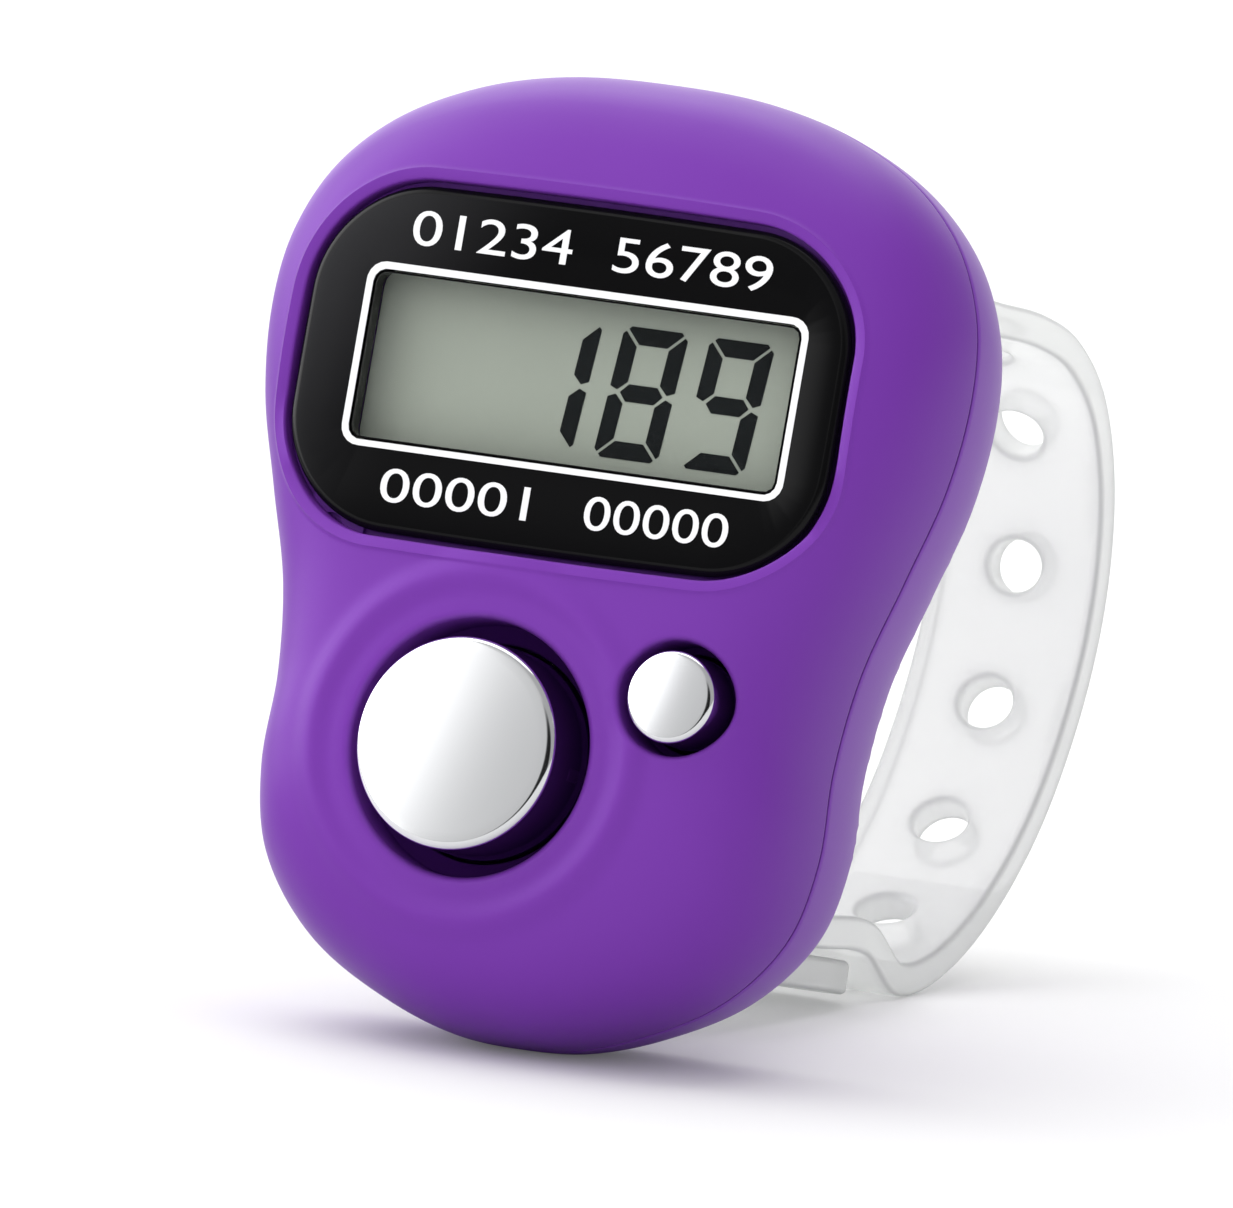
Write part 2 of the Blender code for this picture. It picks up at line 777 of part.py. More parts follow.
lcd_front_glass = slab("lcd_front_glass", lcd_width, lcd_height, -lcd_front, -lcd_front_back, 0, lcd_centre)
lcd_rear_glass = slab(
    "lcd_rear_glass", lcd_width, lcd_rear_height, -lcd_rear_front, -lcd_rear_back, 0, lcd_rear_centre
)
lcd_reflector = slab(
    "lcd_reflector", lcd_width - 2 * reflector_inset, lcd_rear_height - 2 * reflector_inset,
    -reflector_front, -reflector_back, 0, lcd_rear_centre,
)
zebra_centre = lcd_bottom + zebra_inset / 2 + zebra_height / 2
zebra_strip = slab(
    "zebra_strip", strip_length, zebra_height, -lcd_front_back + seat_gap, -board_front - seat_gap,
    0, zebra_centre
)
foam_centre = lcd_centre + lcd_height / 2 - foam_height / 2 - zebra_inset
foam_strip = slab(
    "foam_strip", strip_length, foam_height, -reflector_back + seat_gap, -board_front - seat_gap,
    0, foam_centre
)

# Circuit board with its chip and two small parts
board_right = [
    (x * board_width / 2, z * (board_top if z > 0 else board_bottom)) for x, z in board_shares
]
board_line = board_right + [(-x, z) for x, z in reversed(board_right)]
main_board = plate(
    "main_board",
    [board_line] + [
        circle_outline(board_screw_radius + screw_clearance, place, small_steps)
        for place in board_screw_places
    ],
    -board_front, board_rear,
)
chip_blob = turned(
    "chip_blob",
    [(r * blob_radius, board_front + board_gap + h * blob_height) for r, h in blob_rise_shares]
    + [(0, board_front + board_gap)],
    (0, lcd_centre), small_steps + small_steps,
)


def chip(name, length, thickness, width, x, z):
    """A small part on the board's rear, with softened edges."""
    made = box(name, (length, thickness, width), (x, board_rear + board_gap + thickness / 2, z))
    bevel = made.modifiers.new("edges", "BEVEL")
    bevel.width = chip_edge
    bevel.segments = 1
    return made


chip_capacitor = chip(
    "chip_capacitor", capacitor_length, capacitor_thickness, capacitor_width,
    -capacitor_shift, -capacitor_drop
)
chip_resistor = chip(
    "chip_resistor", resistor_length, resistor_thickness, resistor_width, resistor_shift, -resistor_drop
)


# Buttons, domes and pills

def button(name, radius, flange_radius, face, edge, crown, floor_back, place, steps):
    """A cap with a softly crowned face, a bevelled rim and the flange that keeps it in its well."""
    flange_front = floor_back - seat_gap
    flange_back = flange_front - flange_thickness
    return turned(name, [
        (0, face), (radius * 0.5, face - crown / 4), (radius - edge, face - crown),
        (radius - edge * 0.3, face - crown - edge * 0.3), (radius, face - crown - edge),
        (radius, flange_front), (flange_radius, flange_front), (flange_radius, flange_back), (0, flange_back),
    ], place, steps)


def dome(name, flange_radius, floor_back, place):
    """A rubber dome, open to the board, with a foot ring that rests on it."""
    top = floor_back - flange_thickness - 2 * seat_gap
    foot = board_front + board_gap
    top_radius = flange_radius * dome_top_share
    base_radius = flange_radius * dome_base_share
    return turned(name, [
        (0, top), (top_radius, top), (base_radius, foot + dome_foot),
        (flange_radius * dome_foot_share, foot + dome_foot), (flange_radius * dome_foot_share, foot),
        (base_radius - dome_wall, foot), (top_radius - dome_wall, top - dome_wall), (0, top - dome_wall),
    ], place, small_steps + small_steps)


def pill(name, flange_radius, floor_back, place):
    """The carbon contact under a dome's top."""
    top = floor_back - flange_thickness - 2 * seat_gap - dome_wall - board_gap
    radius = flange_radius * pill_share
    return turned(name, [
        (0, top), (radius, top), (radius, top - pill_thickness), (0, top - pill_thickness),
    ], place, small_steps)


count_button = button(
    "count_button", count_radius, count_flange_radius, count_face, count_edge, count_crown,
    count_floor_back, count_place, round_steps,
)
reset_button = button(
    "reset_button", reset_radius, reset_flange_radius, reset_face, reset_edge, reset_crown,
    reset_floor_back, reset_place, small_steps + small_steps,
)
count_rubber_dome = dome("count_rubber_dome", count_flange_radius, count_floor_back, count_place)
reset_rubber_dome = dome("reset_rubber_dome", reset_flange_radius, reset_floor_back, reset_place)
count_carbon_pill = pill("count_carbon_pill", count_flange_radius, count_floor_back, count_place)
reset_carbon_pill = pill("reset_carbon_pill", reset_flange_radius, reset_floor_back, reset_place)

# Button cell: the can at the rear, the cap with the negative pole towards the board
cell_place = (0, cell_height)
cell_front = cell_rear - cell_thickness
button_cell = turned("button_cell", [
    (0, cell_rear), (cell_radius - cell_edge, cell_rear), (cell_radius, cell_rear - cell_edge),
    (cell_radius, cell_front + cell_cap_rise + cell_edge),
    (cell_radius - cell_edge, cell_front + cell_cap_rise),
    (cell_radius * cell_cap_share, cell_front + cell_cap_rise), (cell_radius * cell_cap_share, cell_front),
    (0, cell_front),
], cell_place, forward=False)

# Rear case: sleeve and bosses, then the stepped bore, door notches, strap slots and screw holes
sleeve_radius = cell_radius + cell_clearance
sleeve_outer = sleeve_radius + sleeve_wall
wall_root = rear_wall_inside + case_wall / 2
join(rear_case, rod("sleeve_tool", sleeve_outer, sleeve_front, wall_root, cell_place, round_steps, True))
for number, place in enumerate(case_screw_places, 1):
    boss = rod(f"rear_boss_{number}", case_boss_radius, half_seam, wall_root, place, small_steps, True)
    join(rear_case, boss)
door_face = rear_depth - door_sink
door_seat = door_face - door_rim
ledge_rear = door_seat - door_clearance
ledge_front = ledge_rear - ledge_thickness
door_inside = cell_rear + seat_gap
undercut_front = cell_rear
rear_top = rear_depth + cut_overrun
bore_tool = turned("bore_tool", [
    (0, rear_top), (door_radius + door_clearance, rear_top), (door_radius + door_clearance, ledge_rear),
    (ledge_radius, ledge_rear), (ledge_radius, ledge_front), (undercut_radius, ledge_front),
    (undercut_radius, undercut_front), (sleeve_radius, undercut_front),
    (sleeve_radius, sleeve_front - cut_overrun), (0, sleeve_front - cut_overrun),
], cell_place, forward=False, cutter=True)
cut(rear_case, bore_tool)
notch_reach = door_lug_reach + notch_clearance
notch_tool = box(
    "notch_tool",
    (2 * notch_reach, door_seat - undercut_front, door_lug_width + 2 * notch_clearance),
    (0, (door_seat + undercut_front) / 2, cell_height), (0, door_turn, 0), True,
)
contact_inside = cell_radius + board_gap
contact_slot_height = contact_width + 2 * contact_slot_margin
contact_slot_tool = box(
    "contact_slot_tool",
    (sleeve_outer, contact_top + contact_slot_margin, contact_slot_height),
    (sleeve_outer / 2 + sleeve_radius / 2, (contact_top + contact_slot_margin) / 2, cell_height), cutter=True,
)
slot_width = strap_width + 2 * slot_side_clearance
slot_height = strap_thickness + 2 * slot_face_clearance
cut(rear_case, notch_tool, contact_slot_tool)
for name, height in (("upper_slot", upper_slot_height), ("lower_slot", -lower_slot_height)):
    cut(rear_case, box(
        name, (slot_width, case_wall + 2 * cut_overrun, slot_height),
        (0, rear_wall_inside + case_wall / 2, height), cutter=True,
    ))
for number, place in enumerate(case_screw_places, 1):
    cut(
        rear_case,
        rod(
            f"rear_screw_hole_{number}", case_screw_radius + screw_clearance, -cut_overrun, rear_top, place,
            small_steps, True,
        ),
        rod(
            f"rear_counterbore_{number}", case_screw_head_radius + screw_clearance,
            case_screw_seat - seat_gap, rear_top, place, small_steps, True,
        ),
    )

# Battery door: turned disc and plug, two bayonet lugs, coin slot
battery_door = turned("battery_door", [
    (0, door_face), (door_radius - door_edge, door_face), (door_radius, door_face - door_edge),
    (door_radius, door_seat), (door_plug_radius, door_seat), (door_plug_radius, door_inside),
    (0, door_inside),
], cell_place, forward=False)
join(battery_door, box(
    "lug_tool", (2 * door_lug_reach, door_lug_thickness, door_lug_width),
    (0, door_inside + door_lug_thickness / 2, cell_height), cutter=True,
))
cut(battery_door, box(
    "coin_slot", (coin_slot_length, 2 * coin_slot_depth, coin_slot_width),
    (0, door_face, cell_height), (0, pi / 4, 0), True,
))


# Battery contacts, bent from strip

def strip_outline(points, thickness):
    """The closed edge outline of a strip whose middle line runs through the points."""
    line = [Vector(p) for p in points]
    left = []
    right = []
    for i, point in enumerate(line):
        before = (point - line[i - 1]).normalized() if i else (line[1] - point).normalized()
        after = (line[i + 1] - point).normalized() if i + 1 < len(line) else before
        across = Vector((-(before + after).y, (before + after).x)).normalized()
        reach = thickness / 2 / max(across.dot(Vector((-after.y, after.x))), 0.5)
        left.append(tuple(point + across * reach))
        right.append(tuple(point - across * reach))
    return left + right[::-1]


def bent_strip(name, points, thickness, width, height):
    """A strip bent in the level plane: the points are (x, y), the width runs along Z."""
    made = plate(name, [strip_outline(points, thickness)], -width / 2, width / 2)
    made.location = (0, 0, height)
    made.rotation_euler = (0, 0, 0)
    return made


foot_depth = board_rear + board_gap + contact_thickness / 2
blade_place = contact_inside + contact_thickness / 2
contact_foot = (board_screw_side - board_screw_head_radius - blade_place) * contact_foot_share
positive_contact = bent_strip(
    "positive_contact",
    [(blade_place + contact_foot, foot_depth), (blade_place, foot_depth), (blade_place, contact_top)],
    contact_thickness, contact_width, cell_height,
)
negative_contact = bent_strip(
    "negative_contact", [(s * leaf_length, foot_depth + rise * leaf_rise) for s, rise in leaf_shares],
    contact_thickness, contact_width, cell_height,
)


# Screws

def fastener(name, head_radius, head, radius, seat, reach, place):
    """A pan-head screw from the rear: the head's seat and the tip are depths from the seam."""
    return turned(name, [
        (0, seat + head), (head_radius * 0.7, seat + head), (head_radius, seat + head * 0.55),
        (head_radius, seat), (radius, seat), (radius, -reach + radius), (radius * screw_tip_share, -reach),
        (0, -reach),
    ], place, small_steps, forward=False)


case_screws = [
    fastener(
        f"case_screw_{number}", case_screw_head_radius, case_screw_head, case_screw_radius,
        case_screw_seat, case_screw_reach, place,
    )
    for number, place in enumerate(case_screw_places, 1)
]
board_screws = [
    fastener(
        f"board_screw_{number}", board_screw_head_radius, board_screw_head, board_screw_radius,
        board_rear + board_gap, board_screw_reach, place,
    )
    for number, place in enumerate(board_screw_places, 1)
]

# Strap: each half is drawn flat with its holes and then laid along its middle line
anchor_depth = rear_wall_inside - head_gap - head_length
slot_drop = upper_slot_height + lower_slot_height


def line_point(shares):
    reach, rise = shares
    return (anchor_depth + reach * (loop_reach - strap_thickness / 2), rise * slot_drop - lower_slot_height)


lap_lift = strap_thickness + lap_gap
short_line = smooth_line([line_point(s) for s in short_shares], path_steps)
long_line = smooth_line(
    [line_point(s) for s in long_shares]
    + [(y, z + lap_lift) for y, z in [line_point(s) for s in lap_shares]],
    path_steps,
)


class Route:
    """A middle line by its running length, with the normal towards the finger."""

    def __init__(self, line, inward_sign):
        self.line = line
        self.inward_sign = inward_sign
        self.reach = [0.0]
        for a, b in zip(line, line[1:]):
            self.reach.append(self.reach[-1] + (b - a).length)
        self.length = self.reach[-1]

    def at(self, distance):
        """Point and normal at a running length, straight on past the ends."""
        i = 0
        while i < len(self.line) - 2 and self.reach[i + 1] < distance:
            i += 1
        span = self.reach[i + 1] - self.reach[i]
        part = (distance - self.reach[i]) / span
        point = self.line[i].lerp(self.line[i + 1], part) if 0 <= part <= 1 else (
            self.line[i] + (self.line[i + 1] - self.line[i]) * part
        )
        near = self.line[max(i - 1, 0)]
        far = self.line[min(i + 2, len(self.line) - 1)]
        along = (far - near).normalized()
        return point, Vector((-along.y, along.x)) * self.inward_sign

    def nearest(self, depth, rear_part):
        """The running length where the line passes a depth, searched in its last part if asked."""
        best = None
        for k, point in enumerate(self.line):
            if rear_part and self.reach[k] < self.length / 2:
                continue
            miss = abs(point.x - depth)
            if best is None or miss < best[0]:
                best = (miss, self.reach[k])
        return best[1]


# The lines run (y, z); the upper line turns down and forward again, so its inner side is on its right
long_route = Route(long_line, -1)
short_route = Route(short_line, 1)
stud_depth = line_point((stud_share, 0))[0]
stud_hole_at = long_route.nearest(stud_depth, True)
hole_places = []
place = stud_hole_at
while place < long_route.length - strap_tip_margin:
    hole_places.append(place)
    place += strap_hole_pitch
place = stud_hole_at - strap_hole_pitch
while place > strap_hole_margin:
    hole_places.append(place)
    place -= strap_hole_pitch


def strap_section(route, distance, half):
    """The chamfered cross-section of a strap at a running length."""
    point, normal = route.at(distance)
    deep = strap_thickness / 2
    corners = [
        (half, deep - strap_edge), (half - strap_edge, deep), (strap_edge - half, deep),
        (-half, deep - strap_edge),
        (-half, strap_edge - deep), (strap_edge - half, -deep), (half - strap_edge, -deep),
        (half, strap_edge - deep),
    ]
    return [(x, *(point + normal * rise)) for x, rise in corners]


def strap(name, route, holes, tip_reach, tip_power):
    """A strap lofted along its route, from the T head through even stations to its rounded tip."""
    half = strap_width / 2
    first = (holes[0] if holes else route.length) % strap_hole_pitch
    count = int((route.length - first) / strap_hole_pitch * 2) + 1
    stations = [first + strap_hole_pitch / 2 * k for k in range(count)]
    sections = [(0, head_width / 2), (head_length, head_width / 2), (head_length + head_shoulder, half)]
    sections += [(s, half) for s in stations if head_length * 2 < s < route.length - tip_reach - strap_edge]
    for k in range(corner_steps + 1):
        angle = pi / 2 * k / corner_steps
        share = max(cos(angle), 0.0) ** tip_power
        sections.append((route.length - tip_reach * (1 - sin(angle)), max(half * share, tip_flat)))

    def build(work):
        rows = [[work.verts.new(co) for co in strap_section(route, s, w)] for s, w in sections]
        for lower, upper in zip(rows, rows[1:]):
            bridge(work, lower, upper)
        work.faces.new(rows[0])
        work.faces.new(rows[-1])
    made = add_object(name, mesh_from(name, build))
    for number, place in enumerate(holes, 1):
        cut(made, pointing_rod(f"{name}_hole_{number}", route.at(place)))
    return made


def pointing_rod(name, place_and_normal):
    """A hole cutter that stands across the strap."""
    point, normal = place_and_normal

    def build(work):
        bmesh.ops.create_cone(
            work, cap_ends=True, segments=hole_steps, radius1=strap_hole_radius, radius2=strap_hole_radius,
            depth=strap_thickness * 2,
        )
        turn = Matrix.Rotation(pi / hole_steps, 3, "Z")
        bmesh.ops.rotate(work, cent=(0, 0, 0), matrix=turn, verts=work.verts)
    tilt = Vector((0, normal.x, normal.y)).to_track_quat("Z", "X").to_euler()
    return add_object(name, mesh_from(name, build), (0, point.x, point.y), tilt, True)


strap_long = strap("strap_long", long_route, hole_places, strap_width / 2, 1.0)
strap_short = strap("strap_short", short_route, [], tip_length, tip_taper_share)

# Mushroom stud on the short half, through a hole of the long half
stud_point, stud_normal = short_route.at(short_route.nearest(stud_depth, False))
stud_neck = strap_hole_radius - stud_neck_clearance
stud_neck_top = strap_thickness / 2 + lap_lift + lap_gap
stud_tool_mesh = bpy.data.meshes.new("stud_tool")
stud_profile = [
    (0, stud_neck_top + stud_head_height), (stud_neck, stud_neck_top + stud_head_height),
    (stud_head_radius, stud_neck_top + stud_head_height / 3), (stud_head_radius, stud_neck_top),
    (stud_neck, stud_neck_top), (stud_neck, -strap_thickness / 2 * stud_root_share),
    (0, -strap_thickness / 2 * stud_root_share),
]
stud_tool_mesh.from_pydata(
    [(r, 0, h) for r, h in stud_profile], [(i, i + 1) for i in range(len(stud_profile) - 1)], []
)
stud_tilt = Vector((0, stud_normal.x, stud_normal.y)).to_track_quat("Z", "X").to_euler()
stud_tool = add_object("stud_tool", stud_tool_mesh, (0, stud_point.x, stud_point.y), stud_tilt, True)
stud_turn = stud_tool.modifiers.new("turn", "SCREW")
stud_turn.steps = small_steps
stud_turn.render_steps = small_steps
stud_turn.use_merge_vertices = True
stud_turn.merge_threshold = screw_merge
join(strap_short, stud_tool)


# Lean: the case leans back until its lower edge and the strap are level

def level(point, lean):
    """The height of a point (y, z) of the case frame once the frame leans back."""
    return point[1] * cos(lean) - point[0] * sin(lean)


case_edge = [
    (half_seam + rear_ring(k / path_steps)[1] * (rear_depth - half_seam),
     -rear_ring(k / path_steps)[0] * case_height / 2)
    for k in range(path_steps + 1)
]
strap_edge_line = []
for route in (long_route, short_route):
    for k in range(len(route.line)):
        point, normal = route.at(route.reach[k])
        strap_edge_line.append(tuple(point - normal * strap_thickness / 2))
lean_low = 0.0
lean_high = radians(40)
for _ in range(40):
    lean = (lean_low + lean_high) / 2
    case_level = min(level(p, lean) for p in case_edge) + foot_flat
    strap_level = min(level(p, lean) for p in strap_edge_line)
    if case_level < strap_level:
        lean_low = lean
    else:
        lean_high = lean
case_frame.rotation_euler = (-lean, 0, 0)
foot_point = min(case_edge, key=lambda p: level(p, lean))
foot_size = rear_depth * 2
foot_tool = box("foot_tool", (case_width, foot_size, foot_size), (0, 0, 0), (lean, 0, 0), True)
down = Vector((0, -sin(lean), -cos(lean)))
foot_centre = Vector((0, *foot_point)) + Vector((0, sin(lean), -cos(lean))) * (foot_size / 2 - foot_flat)
foot_tool.location = foot_centre
cut(rear_case, foot_tool)

# Looks
purple = material("purple_plastic", (130, 72, 182), 0.42)
rear_purple = material("rear_purple_plastic", (140, 86, 192), 0.45)
black_gloss = material("black_gloss", (20, 20, 20), 0.12)
clear_pane = material("clear_pane", (235, 240, 238), 0.05, alpha=0.35)
display_glass = material("display_glass", (168, 176, 163), 0.1, alpha=0.5)
reflector_foil = material("reflector_foil", (160, 168, 155), 0.5)
dark_rubber = material("dark_rubber", (60, 60, 64), 0.7)
foam = material("grey_foam", (110, 110, 112), 0.9)
board_green = material("board_green", (28, 84, 48), 0.45)
black_resin = material("black_resin", (18, 18, 20), 0.3)
chip_tan = material("chip_tan", (172, 140, 96), 0.5)
chip_black = material("chip_black", (30, 30, 32), 0.5)
chrome = material("chrome", (225, 227, 230), 0.08, 1.0)
carbon = material("carbon", (25, 25, 26), 0.8)
cell_steel = material("cell_steel", (190, 192, 194), 0.25, 1.0)
contact_metal = material("contact_metal", (206, 198, 176), 0.3, 1.0)
screw_steel = material("screw_steel", (150, 152, 156), 0.35, 1.0)
clear_strap = material("clear_strap", (236, 237, 240), 0.3, alpha=0.6)

looks = {
    front_case: purple, rear_case: rear_purple, bezel_panel: black_gloss, window_pane: clear_pane,
    lcd_front_glass: display_glass, lcd_rear_glass: display_glass, lcd_reflector: reflector_foil,
    zebra_strip: dark_rubber, foam_strip: foam, main_board: board_green, chip_blob: black_resin,
    chip_capacitor: chip_tan, chip_resistor: chip_black, count_button: chrome, reset_button: chrome,
    count_rubber_dome: dark_rubber, reset_rubber_dome: dark_rubber, count_carbon_pill: carbon,
    reset_carbon_pill: carbon, button_cell: cell_steel, positive_contact: contact_metal,
    negative_contact: contact_metal, battery_door: rear_purple, strap_long: clear_strap,
    strap_short: clear_strap,
}
for screw in case_screws + board_screws:
    looks[screw] = screw_steel
for piece, look in looks.items():
    finish(piece, look)

# The origin: under the middle of the model, on the ground
bpy.context.view_layer.update()
view = bpy.context.evaluated_depsgraph_get()
low = Vector((1e9, 1e9, 1e9))
high = -low
for piece in looks:
    solid = piece.evaluated_get(view)
    for vertex in solid.data.vertices:
        world = solid.matrix_world @ vertex.co
        low = Vector(map(min, low, world))
        high = Vector(map(max, high, world))
case_frame.location = (-(low.x + high.x) / 2, -(low.y + high.y) / 2, -low.z)
bpy.context.view_layer.update()
print("lean, degrees:", round(lean * 180 / pi, 3))
print("size, millimetres:", [round(v / MM, 3) for v in high - low])
print("case frame at, millimetres:", [round(v / MM, 4) for v in case_frame.location])
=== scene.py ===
import json
from math import atan2, pi, radians, tan

import bmesh
import bpy
import numpy as np
from mathutils import Matrix, Vector
from mathutils.geometry import delaunay_2d_cdt


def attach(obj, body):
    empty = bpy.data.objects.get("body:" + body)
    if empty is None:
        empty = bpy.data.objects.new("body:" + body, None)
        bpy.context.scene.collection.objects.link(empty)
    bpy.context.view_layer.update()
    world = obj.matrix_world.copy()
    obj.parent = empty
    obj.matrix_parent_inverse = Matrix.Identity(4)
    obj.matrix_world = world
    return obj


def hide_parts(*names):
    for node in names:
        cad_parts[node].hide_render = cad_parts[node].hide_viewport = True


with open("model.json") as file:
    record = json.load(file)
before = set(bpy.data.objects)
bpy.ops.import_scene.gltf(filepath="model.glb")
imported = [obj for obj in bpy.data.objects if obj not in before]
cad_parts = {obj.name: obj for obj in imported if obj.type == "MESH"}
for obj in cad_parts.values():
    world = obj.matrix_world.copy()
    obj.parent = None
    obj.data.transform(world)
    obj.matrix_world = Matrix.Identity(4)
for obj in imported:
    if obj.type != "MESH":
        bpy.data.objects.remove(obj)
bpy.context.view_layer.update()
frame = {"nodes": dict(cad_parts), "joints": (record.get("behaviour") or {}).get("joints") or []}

# Pieces are worked out in millimetres in the leaning case's own frame: u to the right, w up and the
# depth to the back, from the middle of the case on the seam plane. The door's joint gives the lean
# and the place.
twist = [joint for joint in frame["joints"] if joint["name"] == "battery_door_twist"][0]
backward = Vector(twist["axis"])
lean = atan2(-backward.z, backward.y)
leaning = Matrix.Rotation(-lean, 3, "X")
caseOrigin = Vector(twist["pos_m"]) - leaning @ Vector((0, 0.0058, 0.001))  # the door's place in the case


def toWorld(points):
    turned = np.asarray(points, float) @ np.array(leaning).T * 0.001 + np.array(caseOrigin)
    turned[:, 2] = np.maximum(turned[:, 2], 0.0)  # the rounded lower edges stand flat on the floor
    return turned


# Lines and loops

def smoothLine(points, steps, closed=False):
    # Hermite curve b(2t3-3t2+1) + p(t3-2t2+t) + c(3t2-2t3) + q(t3-t2), slopes p and q from the neighbours
    points = np.asarray(points, float)
    count = len(points)
    line = []
    for i in range(count if closed else count - 1):
        b, c = points[i], points[(i + 1) % count]
        a = points[i - 1] if closed or i > 0 else b * 2 - c
        d = points[(i + 2) % count] if closed or i + 2 < count else c * 2 - b
        before, span, after = [max(np.linalg.norm(v), 1e-6) for v in (b - a, c - b, d - c)]
        p = ((b - a) / before + (c - b) / span) / 2 * span
        q = ((c - b) / span + (d - c) / after) / 2 * span
        t = (np.arange(steps) / steps)[:, None]
        line.append(b * (2 * t ** 3 - 3 * t ** 2 + 1) + p * (t ** 3 - 2 * t ** 2 + t)
                    + c * (3 * t ** 2 - 2 * t ** 3) + q * (t ** 3 - t ** 2))
    if not closed:
        line.append(points[-1:])
    return np.concatenate(line)


def evenly(line, count, closed=True):
    ends = np.vstack([line, line[:1]]) if closed else line
    reach = np.concatenate([[0], np.cumsum(np.linalg.norm(np.diff(ends, axis=0), axis=1))])
    goals = np.linspace(0, reach[-1], count + 1 if closed else count)[:count]
    return np.stack([np.interp(goals, reach, ends[:, k]) for k in range(2)], 1)


def offsetLoop(loop, inset):
    along = np.roll(loop, -1, 0) - np.roll(loop, 1, 0)
    along /= np.linalg.norm(along, axis=1)[:, None]
    area = np.sum(loop[:, 0] * np.roll(loop[:, 1], -1) - np.roll(loop[:, 0], -1) * loop[:, 1])
    inwards = np.stack([-along[:, 1], along[:, 0]], 1) * np.sign(area)
    return loop + inwards * inset


def roundedLoop(width, height, radius, bulge, centre, count):
    # Corner arcs joined by straight sides, each point pushed out by bulge * u/a * (1 - (w/b)^2)
    corners = []
    for quarter, (side, rise) in enumerate([(1, 1), (-1, 1), (-1, -1), (1, -1)]):
        angle = pi / 2 * (quarter + np.linspace(0, 1, 24))
        corners.append(np.stack([side * (width / 2 - radius) + radius * np.cos(angle),
                                 rise * (height / 2 - radius) + radius * np.sin(angle)], 1))
    loop = evenly(np.concatenate(corners), count)
    u, w = loop[:, 0] / (width / 2), loop[:, 1] / (height / 2)
    push = bulge * width / 2
    return np.stack([loop[:, 0] + u * push * (1 - w ** 2), loop[:, 1] + w * push * (1 - u ** 2)], 1) + centre


def circleLoop(radius, centre, count):
    angle = 2 * pi * np.arange(count) / count
    return np.stack([centre[0] + radius * np.cos(angle), centre[1] + radius * np.sin(angle)], 1)


def insideLoop(points, loop):
    # Even-odd rule along u
    a, b = loop, np.roll(loop, -1, 0)
    w = points[:, 1][:, None]
    crosses = (a[:, 1] > w) != (b[:, 1] > w)
    rise = np.where(b[:, 1] == a[:, 1], 1e-12, b[:, 1] - a[:, 1])
    meets = a[:, 0] + (w - a[:, 1]) * (b[:, 0] - a[:, 0]) / rise
    return (crosses & (points[:, 0][:, None] < meets)).sum(1) % 2 == 1


def farFrom(points, loop, distance):
    return np.linalg.norm(points[:, None] - loop[None], axis=2).min(1) > distance


